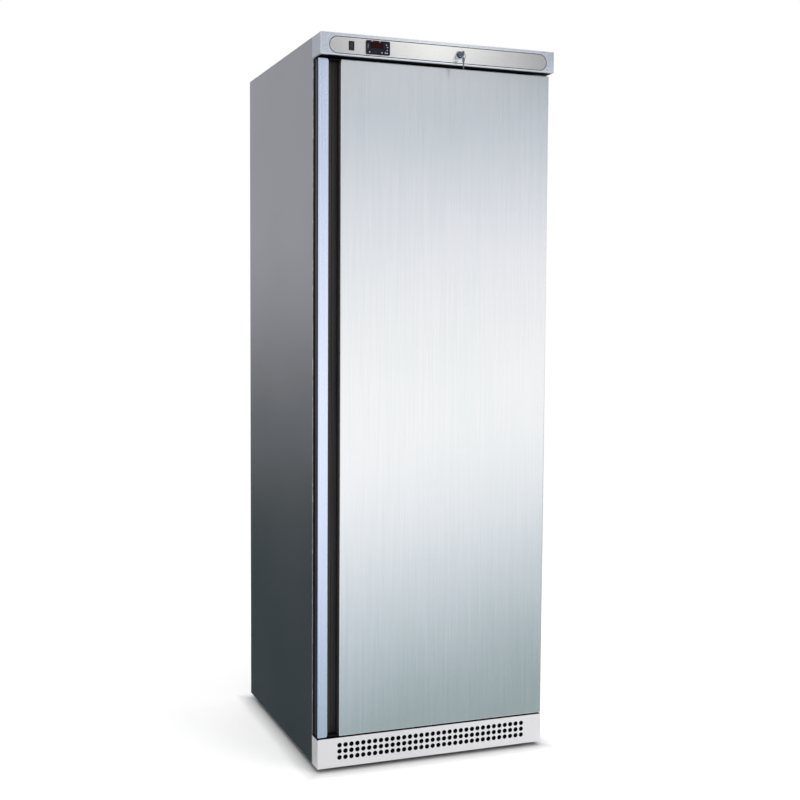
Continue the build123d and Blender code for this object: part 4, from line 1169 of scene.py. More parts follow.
    def _marks(self) -> None:
        """Prints the marks: on the panel, and on the faces of three buttons."""
        low, _, _ = limits("controller_body")
        near, far = low.y - self.ink, low.y + self.ink
        shape = Shape()
        for x, z in self.dots:
            shape.rod((low.x + x, near, low.z + z), (low.x + x, far, low.z + z), self.dot, 16)
        for x, z, turn in self.arrows:
            x, z = low.x + x, low.z + z
            points = [(x - 1.7, z - 1.1 * turn), (x + 1.7, z - 1.1 * turn), (x, z + 1.3 * turn)]
            shape.prism(Axis.Y, near, far, points)
        for x, z in self.bars:
            self._bar(shape, (low.x + x, low.y, low.z + z), 1.3, 0.9)
        self.add("controller_marks", shape, WHITE_INK, "cabinet", "inlay_silver")
        for number, spots in self.button_bars:
            low, _, middle = limits(f"controller_button_{number}")
            shape = Shape()
            for spot in spots:
                self._bar(shape, (middle.x + spot, low.y, middle.z), 2.8, 1.7)
            self.add(f"button_mark_{number}", shape, WHITE_INK, f"button_{number}", "inlay_silver")

    def _bar(self, shape: Shape, spot: Point, width: float, height: float) -> None:
        """Prints a level bar of a width and a height at a spot."""
        half = Vector((width / 2, self.ink, height / 2))
        shape.box(Vector(spot) - half, Vector(spot) + half)


@dataclass
class DoorLock(Assembly):
    """Cam lock in the fascia, with two keys on a ring.

    Attributes:
        barrel: Radius of the barrel behind the fascia.
        plug: Radius of the turning plug.
        tail: Length of the plug's solid end behind the keyway.
        fit: Clearance between barrel, plug and key.
        dust_and_reflection_ring: Inner and outer radius of the black dust ring on the plug's face, which also
            stands in for the dark reflections in the chrome.
        dust_stand: How far that ring stands out.
        lip: Depth of the flange.
        blade: Height of a key's blade.
        thick: Thickness of a key.
        bow: Radius of a key's head.
        bow_offset: Distance of the ring hole from the head's middle.
        hole: Radius of the ring hole.
        neck: Where a blade leaves its head, as a share of the head's radius.
        spare_blade: Height of the spare key's blade.
        spare_length: Length of that blade below the head.
        cuts: Notches in it.
        cut_depth: Their depth.
        cut_pitch: Distance between them.
    """

    barrel: float = 9.0
    plug: float = 7.5
    tail: float = 8.0
    fit: float = 0.08
    dust_and_reflection_ring: Pair = (4.5, 7.2)
    dust_stand: float = 0.3
    lip: float = 2.0
    blade: float = 6.5
    thick: float = 2.0
    bow: float = 6.6
    bow_offset: float = 2.4
    hole: float = 2.1
    neck: float = 0.7
    spare_blade: float = 5.0
    spare_length: float = 17.2
    cuts: int = 4
    cut_depth: float = 1.1
    cut_pitch: float = 2.8

    def build(self) -> None:
        """Builds the barrel, the plug, the keys and the ring, and dresses the cam."""
        self.dress(PLATED_STEEL, "lock_cam")
        self._barrel()
        self._plug()
        self._key()
        self._spare()

    def _barrel(self) -> None:
        """Turns the barrel with its rounded flange."""
        low, high, middle = limits("lock_barrel")
        flange = (high.x - low.x) / 2
        bore = self.plug + self.fit
        depth = high.y - low.y
        profile = [
            (bore, 0.5), (bore + 0.4, 0.1), (bore + 0.9, 0.0), (flange - 1.1, 0.0), (flange - 0.5, 0.2),
            (flange - 0.1, 0.7), (flange, 1.2), (flange, self.lip), (self.barrel, self.lip),
            (self.barrel, depth), (bore, depth), (bore, 0.5),
        ]
        shape = Shape()
        shape.turned(Axis.Y, (middle.x, low.y, middle.z), profile, 56)
        self.add("lock_collar", shape, CHROME, "cabinet", "chrome", "lock_barrel")

    def _plug(self) -> None:
        """Builds the plug with its keyway, and the black dust ring on its face, a painted dark reflection
        between the chrome parts.
        """
        low, high, middle = limits("lock_plug")
        half = self.thick / 2 + self.fit
        rise = self.blade / 2 + self.fit
        slot = rectangle(middle.x - half, middle.z - rise, middle.x + half, middle.z + rise)
        shape = Shape()
        loops = shape.ring((middle.x, low.y, middle.z), Axis.Y.way(), self.plug, 48)
        loops += shape.loop(Axis.Y, low.y, slot)
        shape.soften(shape.plate(Axis.Y, loops, high.y - low.y - self.tail), 0.35)
        shape.rod((middle.x, high.y - self.tail - 0.3, middle.z), (middle.x, high.y, middle.z), self.plug, 48)
        self.add("lock_cylinder", shape, CHROME, "lock", "chrome", "lock_plug")
        shape = Shape()
        centre = (middle.x, low.y - self.dust_stand, middle.z)
        loops = [edge for radius in self.dust_and_reflection_ring for edge in shape.ring(centre, Axis.Y.way(), radius, 48)]
        shape.plate(Axis.Y, loops, 2 * self.dust_stand)
        self.add("dust_and_reflection_ring", shape, BLACK_PLASTIC, "lock", "black_plastic")

    def _head(self, shape: Shape, x: float, centre: Pair, hole: Pair) -> None:
        """Adds a key's round head with its ring hole.

        Args:
            shape: The key.
            x: Middle of the key across the cabinet.
            centre: Middle of the head, along Y and Z.
            hole: Middle of the hole, along Y and Z.
        """
        low = x - self.thick / 2
        loops = shape.ring((low, *centre), Axis.X.way(), self.bow, 40)
        loops += shape.ring((low, *hole), Axis.X.way(), self.hole, 20)
        shape.soften(shape.plate(Axis.X, loops, self.thick), 0.3)

    def _key(self) -> None:
        """Builds the key in the lock, its head upright in front of the fascia, and the wire ring."""
        low, high, middle = limits("door_key")
        head = low.y + self.bow
        half, rise = self.thick / 2, self.blade / 2
        shape = Shape()
        self._head(shape, middle.x, (head, middle.z), (head - self.bow_offset, middle.z))
        near = (middle.x - half, head + self.bow * self.neck, middle.z - rise)
        shape.soften(shape.box(near, (middle.x + half, high.y, middle.z + rise)), 0.3)
        self.add("key_in_lock", shape, KEY_NICKEL, "lock", "key_metal", "door_key")
        low, high, middle = limits("key_ring")
        wire = (high.y - low.y) / 2
        top = (middle.x, middle.y, middle.z + (high.x - low.x) / 2 - wire)
        shape = Shape()
        Pipe(shape, top, (1, 0, 0), wire).bend(middle, Axis.Y, 360, 40)
        self.add("split_ring", shape, KEY_NICKEL, "ring", "key_metal", "key_ring")

    def _spare(self) -> None:
        """Builds the spare key at its full length, its notched blade hanging down from the ring."""
        _, high, middle = limits("spare_key")
        head = high.z - self.bow
        shape = Shape()
        self._head(shape, middle.x, (middle.y, head), (middle.y, head + self.bow_offset))
        half, rise = self.thick / 2, self.spare_blade / 2
        left, right = middle.y - rise, middle.y + rise
        top = head - self.bow * self.neck
        tip = head - self.bow - self.spare_length
        points = [(left, top), (left, tip + rise), (middle.y, tip)]
        points += [(right, tip + rise), (right, tip + rise + 1.0)]
        for number in range(self.cuts):
            start = tip + rise + 1.6 + number * self.cut_pitch
            points += [(right - self.cut_depth, start + 0.4), (right - self.cut_depth, start + 1.0)]
            points += [(right, start + 1.6)]
        points += [(right, top)]
        shape.soften(shape.prism(Axis.X, middle.x - half, middle.x + half, points), 0.2, 1)
        self.add("spare_key_on_ring", shape, KEY_NICKEL, "spare", "key_metal", "spare_key")


@dataclass
class Hinges(Assembly):
    """Angle brackets, pins, bushes and bolts at the door's right edge.

    Attributes:
        head: Distance of a bolt from the brackets' ends.
        bolt: Radius of a bolt head over its corners.
        washer: Radius of a washer.
        washer_thick: Its thickness.
    """

    head: float = 4.76
    bolt: float = 5.5
    washer: float = 6.6
    washer_thick: float = 0.9

    def build(self) -> None:
        """Builds the bolts and dresses the brackets, pins and bushes."""
        self.dress(PLATED_STEEL, "hinge_bracket_top", "hinge_bracket_bottom")
        self.dress(CHROME, "hinge_pins")
        self.dress(NYLON_WHITE, "hinge_bushes")
        low, high, middle = limits("hinge_bolts")
        reach = (high.x - low.x) / 2 - self.bolt
        seat_y = high.y - self.washer_thick
        shape = Shape()
        for z in (low.z + self.head, high.z - self.head):
            for x in (middle.x - reach, middle.x + reach):
                shape.soften(shape.rod((x, low.y, z), (x, seat_y, z), self.bolt, 6), 0.5, 2, 50)
                shape.soften(shape.rod((x, seat_y, z), (x, high.y, z), self.washer, 32), 0.2, 1, 50)
        self.add("hinge_screws", shape, PLATED_STEEL, "cabinet", "frame_steel", "hinge_bolts")


@dataclass
class Door(Assembly):
    """The door's skin, core, moulded inner face and magnetic seal.

    Attributes:
        fin: Width of the soft fin that closes the gap along the handle side, its black standing in for the
            shade in that gap.
        fin_gap: Its distance from the seal, from the door's edge and from the cabinet.
        fin_end: Its distance from the door's upper and lower ends.
        seal: Section of the seal, as distance in from its outer edge and share of its depth.
    """

    fin: float = 12.2
    fin_gap: float = 0.6
    fin_end: float = 1.2
    seal: tuple[Pair, ...] = (
        (0.0, 0.0), (18.0, 0.0), (18.0, 0.2), (13.2, 0.28), (14.8, 0.4), (12.6, 0.53), (17.2, 0.62),
        (18.0, 0.7), (18.0, 0.95), (17.3, 1.0), (0.7, 1.0), (0.0, 0.95), (0.0, 0.7), (0.8, 0.62),
        (5.4, 0.53), (3.2, 0.4), (4.8, 0.28), (0.0, 0.2),
    )

    def build(self) -> None:
        """Builds the seal and the fin and dresses the rest of the door."""
        self.dress(DOOR_STEEL, "door_skin")
        self.dress(FOAM, "door_foam")
        self.dress(LINER_WHITE, "door_liner")
        self._seal()
        self._fin()

    def _seal(self) -> None:
        """Builds the bellows seal with mitred, welded corners."""
        low, high, middle = limits("door_gasket")
        half = (high - low) / 2
        shape = Shape()
        rings = []
        for x, z in rectangle(-1, -1, 1, 1):
            verts = []
            for inset, share in self.seal:
                across, up = x * (half.x - inset), z * (half.z - inset)
                spot = (middle.x + across, low.y + share * 2 * half.y, middle.z + up)
                verts.append(shape.mesh.verts.new(spot))
            rings.append([shape.mesh.edges.new(pair) for pair in zip(verts, verts[1:] + verts[:1])])
        for ring, following in zip(rings, rings[1:] + rings[:1]):
            bmesh.ops.bridge_loops(shape.mesh, edges=[*ring, *following])
        self.add("bellows_seal", shape, GASKET_RUBBER, "door", "gasket_rubber", "door_gasket", sharp=50)

    def _fin(self) -> None:
        """Builds the ribbed fin beside the seal, whose black stands in for the shade in the gap by the
        handle.
        """
        seal, back, _ = limits("door_gasket")
        low, high, _ = limits("handle_channel")
        right, rear = seal.x - self.fin_gap, back.y - self.fin_gap
        left, middle = right - self.fin, (high.y + rear) / 2
        section = [
            (left, high.y), (right, high.y), (right, rear), (left, rear), (left, middle + 1.0),
            (left + 1.6, middle), (left, middle - 1.0),
        ]
        ends = low.z + self.fin_end, high.z - self.fin_end
        shape = Shape()
        shape.prism(Axis.Z, *ends, section, [0.0, 0.0, 0.8, 0.8, 0.4, 0.4, 0.4], 3)
        self.add("handle_side_shade_fin", shape, GASKET_RUBBER, "door", "gasket_rubber", sharp=50)


@dataclass
class Grip(Assembly):
    """Full-height grip on the door's left edge.

    Attributes:
        plate: Thickness of the strip.
        left_corner: Radius of its left corners.
        corner: Radius of its right corners.
        edge: Radius of its long edges.
        lap: How far the lip reaches into the strip.
        lip_gap: Distance of the lip from the strip's ends.
    """

    plate: float = 2.0
    left_corner: float = 0.6
    corner: float = 5.0
    edge: float = 1.7
    lap: float = 0.6
    lip_gap: float = 10.0

    def build(self) -> None:
        """Builds the strip with its lip and dresses the recess and its caps."""
        self.dress(CHANNEL_DARK, "handle_channel")
        self.dress(BLACK_PLASTIC, "handle_end_caps")
        low, high, _ = limits("handle_strip")
        back = low.y + self.plate
        radii = [self.left_corner, self.corner, self.corner, self.left_corner]
        shape = Shape()
        made = shape.prism(Axis.Y, low.y, back, front_of("handle_strip"), radii, 7)
        shape.soften([vert for vert in made if vert.co.y < low.y + TOUCH], self.edge, 5)
        near = (high.x - self.plate, back - self.lap, low.z + self.lip_gap)
        shape.soften(shape.box(near, (high.x, high.y, high.z - self.lip_gap)), 0.4)
        self.add("grip_strip", shape, GRIP_ALUMINIUM, "door", "grip_aluminium", "handle_strip")


@dataclass
class Shelves(Assembly):
    """Four wire shelves with round, coated wires.

    Attributes:
        rim: Radius of the rim's wire.
        corner: Radius of the rim's corners.
        wire: Radius of the wires.
        wires: Wires across the shelf.
        cross: Cross wires under them.
        pitch: Distance between the wires.
        stop: Distance of the stop rail from the rim's ends.
        stop_bend: Radius of the rail's bends.
    """

    rim: float = 3.0
    corner: float = 14.0
    wire: float = 1.6
    wires: int = 16
    cross: int = 3
    pitch: float = 29.0
    stop: float = 20.0
    stop_bend: float = 6.0

    def build(self) -> None:
        """Builds every shelf."""
        for number in range(1, 5):
            self._shelf(f"wire_shelf_{number}")

    def _shelf(self, node: str) -> None:
        """Builds one shelf with its rim, wires and stop rail.

        Args:
            node: The CAD node that it stands for.
        """
        low, high, _ = limits(node)
        shape = Shape()
        level = low.z + self.rim
        left, right = low.x + self.rim, high.x - self.rim
        front, back = low.y + self.rim, high.y - self.rim
        turn = self.corner
        wide, deep = right - left - 2 * turn, back - front - 2 * turn
        pipe = Pipe(shape, (left + turn, front, level), (1, 0, 0), self.rim)
        for x, y, way in (
            (right - turn, front + turn, (wide, 0, 0)), (right - turn, back - turn, (0, deep, 0)),
            (left + turn, back - turn, (-wide, 0, 0)), (left + turn, front + turn, (0, -deep, 0)),
        ):
            pipe.run(way).bend((x, y, level), Axis.Z, 90)
        for x in row_of(self.wires, self.pitch):
            shape.rod((x, front, level + self.wire / 2), (x, back, level + self.wire / 2), self.wire, 8)
        for count in range(1, self.cross + 1):
            y = front + (back - front) * count / (self.cross + 1)
            shape.rod((left, y, level - self.wire), (right, y, level - self.wire), self.wire * 0.85, 8)
        stop, turn = self.stop, self.stop_bend
        rise = high.z - self.rim - turn
        pipe = Pipe(shape, (left + stop, back, level), (0, 0, 1), self.rim)
        pipe.run((0, 0, rise - level)).bend((left + stop + turn, back, rise), Axis.Y, 90)
        pipe.run((right - left - 2 * (stop + turn), 0, 0)).bend((right - stop - turn, back, rise), Axis.Y, 90)
        pipe.run((0, 0, level - rise)).close()
        self.add(f"round_{node}", shape, SHELF_WIRE, "cabinet", "shelf_wire", node, sharp=40)


@dataclass
class Circulation(Assembly):
    """Circulation fan and cold plate on the liner's back wall.

    Attributes:
        hub: Radius of the rotor's hub.
        depth: Its depth.
        bore: Radius of its bore.
        blades: Number of blades.
        columns: Steps along a blade.
        reach: How far the blades reach.
        chord: Width of a blade at its widest.
        root_pitch: Slope of a blade at the hub, in degrees.
        tip_pitch: Its slope at the tip.
        thick: Thickness of a blade.
    """

    hub: float = 17.0
    depth: float = 16.0
    bore: float = 2.6
    blades: int = 5
    columns: int = 8
    reach: float = 52.6
    chord: float = 27.0
    root_pitch: float = 34.0
    tip_pitch: float = 24.0
    thick: float = 1.6

    def build(self) -> None:
        """Builds the hub with its blades and dresses the rest."""
        self.dress(LINER_WHITE, "fan_housing", "fan_guard")
        self.dress(PLATED_STEEL, "fan_motor")
        self.dress(COLD_PLATE, "evaporator_plate")
        _, high, centre = limits("fan_blades")
        back = high.y - centre.y
        front, hub, bore = back - self.depth, self.hub, self.bore
        profile = [
            (bore, back), (hub - 1.0, back), (hub, back - 1.0), (hub, front + 3.0), (hub - 1.2, front + 0.9),
            (hub - 4.0, front), (bore, front), (bore, back),
        ]
        shape = Shape()
        shape.turned(Axis.Y, centre, profile, 40)
        middle = Vector((centre.x, high.y - self.depth / 2, centre.z))
        for number in range(self.blades):
            self._blade(shape, middle, math.tau * number / self.blades)
        self.add("fan_rotor", shape, BLACK_PLASTIC, "fan", "black_plastic", "fan_blades", sharp=50)

    def _blade(self, shape: Shape, middle: Vector, angle: float) -> None:
        """Adds one blade, twisted from its root to its tip.

        Args:
            shape: The rotor.
            middle: Middle of the blades on the axle.
            angle: The blade's place round the hub.
        """
        before = set(shape.mesh.verts)
        made = bmesh.ops.create_grid(shape.mesh, x_segments=self.columns, y_segments=6, size=0.5)["verts"]
        root = self.hub - 1.5
        length = self.reach - root
        bmesh.ops.scale(shape.mesh, vec=(length, self.chord, 1), verts=made)
        bmesh.ops.translate(shape.mesh, vec=(root + length / 2, 0, 0), verts=made)
        for column in range(self.columns + 1):
            share = column / self.columns
            line = [vert for vert in made if abs(vert.co.x - root - share * length) < TOUCH]
            width = 0.52 + 0.48 * math.sin(math.pi * (0.22 + 0.62 * share))
            bmesh.ops.scale(shape.mesh, vec=(1, width, 1), verts=line)
            pitch = self.root_pitch + share * (self.tip_pitch - self.root_pitch)
            turn = Matrix.Rotation(math.radians(pitch + 90), 3, "X")
            bmesh.ops.rotate(shape.mesh, cent=(0, 0, 0), matrix=turn, verts=line)
        faces = once(face for vert in made for face in vert.link_faces)
        bmesh.ops.solidify(shape.mesh, geom=faces, thickness=self.thick)
        group = [vert for vert in shape.mesh.verts if vert not in before]
        bmesh.ops.rotate(shape.mesh, cent=(0, 0, 0), matrix=Matrix.Rotation(angle, 3, "Y"), verts=group)
        bmesh.ops.translate(shape.mesh, vec=middle, verts=group)


@dataclass
class ColdUnit(Assembly):
    """Compressor, evaporation tray and condenser at the back.

    Attributes:
        shell: Radius of the compressor's shell.
        seam: Height of the shell's seam over its base.
        seam_size: Radius and height of that seam.
        dome: Radius of the shell's shoulders.
        leg: Thickness of the leg plate.
        leg_size: Half its width and half its depth.
        stub: Distances of the stub pipes from the shell's middle, and their height.
        passes: Passes of the condenser's tube.
        tube: Radius of that tube.
        end: Distance of the outer passes from the wires' ends.
        wire: Radius of the condenser's wires.
        wires: Wires on each side of the tube.
    """

    shell: float = 78.0
    seam: float = 90.0
    seam_size: Pair = (82.0, 4.0)
    dome: float = 26.0
    leg: float = 3.0
    leg_size: Pair = (95.0, 65.0)
    stub: Point = (30.0, 60.0, 108.0)
    passes: int = 12
    tube: float = 3.0
    end: float = 6.0
    wire: float = 1.0
    wires: int = 34

    def build(self) -> None:
        """Builds the round pieces and dresses the others."""
        self.dress(GASKET_RUBBER, "compressor_grommets")
        self.dress(BLACK_PLASTIC, "relay_cover", "cable_gland", "evaporation_tray", "condenser_brackets")
        self.dress(LINER_WHITE, "drain_tube")
        self._compressor()
        self._condenser()
        self._drier()

    def _compressor(self) -> None:
        """Builds the welded shell with round shoulders, its seam, legs, terminal pad and stub pipes."""
        low, high, middle = limits("compressor")
        relay, _, _ = limits("relay_cover")
        wide, deep = self.leg_size
        x, y, base = low.x + wide, middle.y, low.z + self.leg
        seam = base + self.seam
        shape = Shape()
        shape.soften(shape.rod((x, y, base), (x, y, high.z), self.shell, 56), self.dome, 8, 60)
        radius, height = self.seam_size
        shape.soften(shape.rod((x, y, seam), (x, y, seam + height), radius, 56), 1.2, 2, 60)
        legs = rectangle(x - wide, y - deep, x + wide, y + deep)
        shape.soften(shape.prism(Axis.Z, low.z, base, legs, [14.0], 6), 0.8)
        shape.soften(shape.box((x + 56, y - 20, base + 22), (relay.x, y + 20, seam)), 4.0, 3)
        aside, behind, up = self.stub
        for at in (x - aside, x + aside):
            pipe = Pipe(shape, (at, y + behind, base + up), (0, 1, 0), 4.0, 12)
            pipe.run((0, 18, 0)).bend((at, y + behind + 18, base + up + 10), Axis.X, 90)
            pipe.run((0, 0, 12)).close()
        slot = "compressor_black"
        self.add("compressor_shell", shape, BLACK_ENAMEL, "cabinet", slot, "compressor", sharp=40)

    def _condenser(self) -> None:
        """Builds the serpentine of round tube between two layers of upright wires."""
        low, high, middle = limits("condenser")
        y, bottom = middle.y, low.z + self.end
        pitch = (high.z - self.end - bottom) / (self.passes - 1)
        half = (high.x - low.x) / 2 - self.tube
        bend = pitch / 2
        straight = half - bend
        shape = Shape()
        pipe = Pipe(shape, (half, y, bottom), (-1, 0, 0), self.tube, 12)
        pipe.run((-half - straight, 0, 0))
        for number in range(1, self.passes):
            side = -1 if number % 2 else 1
            pipe.bend((side * straight, y, bottom + number * pitch - bend), Axis.Y, -180 * side, 10)
            pipe.run((-side * (straight + (half if number == self.passes - 1 else straight)), 0, 0))
        pipe.close()
        for layer in (-1, 1):
            at = y + layer * (self.tube + self.wire * 0.9)
            for x in row_of(self.wires, 2 * (straight - 4) / (self.wires - 1)):
                shape.rod((x, at, low.z), (x, at, high.z), self.wire, 6)
        piece, slot = "wire_on_tube_condenser", "condenser_black"
        self.add(piece, shape, CONDENSER_BLACK, "cabinet", slot, "condenser", sharp=40)

    def _drier(self) -> None:
        """Builds the filter drier with its beads and necked ends."""
        low, high, middle = limits("filter_drier")
        full = (high.x - low.x) / 2
        top = high.z - low.z
        profile = [
            (0.0, 0.0), (2.2, 0.0), (2.4, 5.0), (4.0, 8.0), (7.6, 12.0), (full, 16.0), (full, 20.0),
            (full - 0.5, 21.0), (full, 22.0), (full, top - 22.0), (full - 0.5, top - 21.0),
            (full, top - 20.0), (full, top - 14.0), (7.2, top - 10.0), (3.6, top - 6.0), (3.2, top),
            (0.0, top),
        ]
        shape = Shape()
        shape.turned(Axis.Z, (middle.x, middle.y, low.z), profile, 36)
        self.add("drier_cartridge", shape, COPPER, "cabinet", "copper", "filter_drier", sharp=50)


@dataclass
class Footing(Assembly):
    """Levelling feet at the front and rollers at the back.

    Attributes:
        pad: Height of a foot's pad.
        stem: Radius of its screw.
        thread: Pitch of its thread.
        bore: Radius of a roller's bore.
    """

    pad: float = 9.7
    stem: float = 5.0
    thread: float = 2.0
    bore: float = 4.08

    def build(self) -> None:
        """Builds the feet and the rollers and dresses their brackets and axles."""
        self.dress(CHASSIS_BLACK, "roller_brackets")
        self.dress(PLATED_STEEL, "roller_axles")
        for side in ("left", "right"):
            self._foot(side)
            self._roller(side)

    def _foot(self, side: str) -> None:
        """Turns one foot with its rounded pad and threaded stem.

        Args:
            side: The side of the cabinet.
        """
        low, high, middle = limits(f"foot_{side}")
        full, top = (high.x - low.x) / 2, high.z - low.z
        pad, stem = self.pad, self.stem
        profile = [
            (0.0, 0.0), (full - 1.2, 0.0), (full, 1.2), (full, 4.0), (full - 2.5, pad - 2.0),
            (full - 4.5, pad - 0.4), (stem + 1.0, pad), (stem, pad + 0.6),
        ]
        for number in range(int((top - pad - 3.0) / self.thread)):
            start = pad + 1.2 + number * self.thread
            profile += [(stem, start), (stem - 0.8, start + self.thread / 2)]
        profile += [(stem - 0.6, top - 0.8), (stem - 1.4, top), (0.0, top)]
        shape = Shape()
        shape.turned(Axis.Z, (middle.x, middle.y, low.z), profile, 36)
        piece, body = f"levelling_foot_{side}", f"{side}_foot"
        self.add(piece, shape, BLACK_PLASTIC, body, "black_plastic", f"foot_{side}", sharp=25)

    def _roller(self, side: str) -> None:
        """Turns one roller with a rounded tread and a sunk web.

        Args:
            side: The side of the cabinet.
        """
        low, high, middle = limits(f"roller_{side}")
        full, half, bore = (high.z - low.z) / 2, (high.x - low.x) / 2, self.bore
        flank = [
            (bore, half), (bore + 3.0, half), (bore + 3.6, half - 3.0), (full - 5.0, half - 3.5),
            (full - 4.0, half), (full - 1.6, half), (full - 0.4, half - 1.0), (full, half - 3.0),
        ]
        profile = [(radius, -along) for radius, along in flank] + flank[::-1] + [(bore, -half)]
        shape = Shape()
        shape.turned(Axis.X, middle, profile, 44)
        piece, body = f"tread_roller_{side}", f"{side}_roller"
        self.add(piece, shape, BUTTON_BLACK, body, "button_black", f"roller_{side}", sharp=40)


# ---------------------------------------------------------------- studio


def seen(tree: Tree) -> Socket:
    """Adds nodes that tell the rays of the eye from those of the light.

    Args:
        tree: The node tree.

    Returns:
        One for camera, glossy and transmission rays, and zero for the others.
    """
    names = ("Is Camera Ray", "Is Glossy Ray", "Is Transmission Ray")
    eye, mirror, glass = (add_node(tree, "ShaderNodeLightPath", out=name) for name in names)
    return maths(tree, "MAXIMUM", maths(tree, "MAXIMUM", eye, mirror), glass)


def laid(name: str, paint: Surface, low: Point, high: Point) -> bpy.types.Object:
    """Lays out a flat sheet of the stage, level or facing the door.

    Args:
        name: Its name.
        paint: Its finish.
        low: Its lowest corner in mm.
        high: Its highest corner.

    Returns:
        The sheet.
    """
    size = Vector(high) - Vector(low)
    mesh = bmesh.new()
    made = bmesh.ops.create_grid(mesh, x_segments=1, y_segments=1, size=0.5)["verts"]
    if size.y < TOUCH:
        bmesh.ops.rotate(mesh, cent=(0, 0, 0), matrix=Matrix.Rotation(math.pi / 2, 3, "X"), verts=made)
    bmesh.ops.scale(mesh, vec=size * MM, verts=made)
    bmesh.ops.translate(mesh, vec=(Vector(low) + Vector(high)) / 2 * MM, verts=made)
    data = bpy.data.meshes.new(name)
    mesh.to_mesh(data)
    mesh.free()
    data.materials.append(paint.material())
    return linked(name, data)


@dataclass(frozen=True)
class Card(Surface):
    """A card of the studio that only reflections see, glowing in a soft gradient.

    Attributes:
        name: Its name.
        low: One corner in mm.
        high: The opposite corner.
        way: The direction of its gradient, whose dot product with a point gives the point's level.
        stops: Shades at their levels, as level in mm and sRGB hex.
        power: Strength of the glow.
    """

    name: str
    low: Point
    high: Point
    way: Point
    stops: tuple[tuple[float, str], ...]
    power: float = 1.0

    def build(self) -> None:
        """Builds the card and keeps it out of everything but reflections."""
        card = laid(self.name, self, self.low, self.high)
        for ray in ("camera", "diffuse", "transmission", "volume_scatter", "shadow"):
            setattr(card, f"visible_{ray}", False)

    def shade(self, tree: Tree, place: Socket) -> Socket:
        """Adds the gradient.

        Args:
            tree: The material's empty node tree.
            place: Object coordinates.

        Returns:
            The shader.
        """
        level = add_node(tree, "ShaderNodeVectorMath", {0: place, 1: self.way}, operation="DOT_PRODUCT")
        low, high = self.stops[0][0], self.stops[-1][0]
        stops = [((at - low) / (high - low), linear(shade)) for at, shade in self.stops]
        share = mapped(tree, level, low * MM, high * MM)
        colour = add_node(tree, "ShaderNodeValToRGB", {0: share}, stops=stops)
        return add_node(tree, "ShaderNodeEmission", {"Color": colour, "Strength": self.power})


@dataclass(frozen=True)
class FloorPaint(Surface):
    """Pale matt floor that keeps the shadow near the refrigerator, with a painted shadow along its foot, and
    turns white further out.

    Attributes:
        name: The material's name.
        base: Its own colour, as sRGB hex.
        lift: Glow that keeps the floor near the refrigerator pale.
        painted_shadow_width: Width of the soft edge of the unlifted floor under the refrigerator, a painted
            shadow along its foot.
        fade: Where the floor starts to turn, and where it has turned, the white of the backdrop.
    """

    name: str = "pale_floor_paint"
    base: str = "e8e8e8"
    lift: float = 0.42
    painted_shadow_width: float = 45.0
    fade: Pair = (500.0, 2200.0)

    def shade(self, tree: Tree, place: Socket) -> Socket:
        """Adds the paint, its glow and the white that it fades to.

        Args:
            tree: The material's empty node tree.
            place: Object coordinates.

        Returns:
            The shader.
        """
        low, _, _ = limits("kickplate_grille")
        sides = []
        for axis in (Axis.X, Axis.Y):
            off = maths(tree, "ABSOLUTE", add_node(tree, "ShaderNodeSeparateXYZ", {0: place}, axis.name))
            sides.append(maths(tree, "SUBTRACT", off, -low[axis.value] * MM))
        away, rays = maths(tree, "MAXIMUM", *sides), seen(tree)
        # Painted shadow: the glow is held back under the refrigerator and fades in over a band round its
        # foot.
        lift = maths(tree, "MULTIPLY", mapped(tree, away, 0.0, self.painted_shadow_width * MM, 0.0, self.lift), rays)
        start, end = self.fade
        far = mapped(tree, away, start * MM, end * MM, interpolation_type="SMOOTHSTEP")
        matt = add_node(tree, "ShaderNodeBsdfDiffuse", {"Color": linear(self.base)})
        glow = add_node(tree, "ShaderNodeEmission", {"Color": WHITE, "Strength": lift})
        near = add_node(tree, "ShaderNodeAddShader", {0: matt, 1: glow})
        white = add_node(tree, "ShaderNodeEmission", {"Color": WHITE, "Strength": 1.0})
        share = maths(tree, "MULTIPLY", far, rays)
        return add_node(tree, "ShaderNodeMixShader", {0: share, 1: near, 2: white})


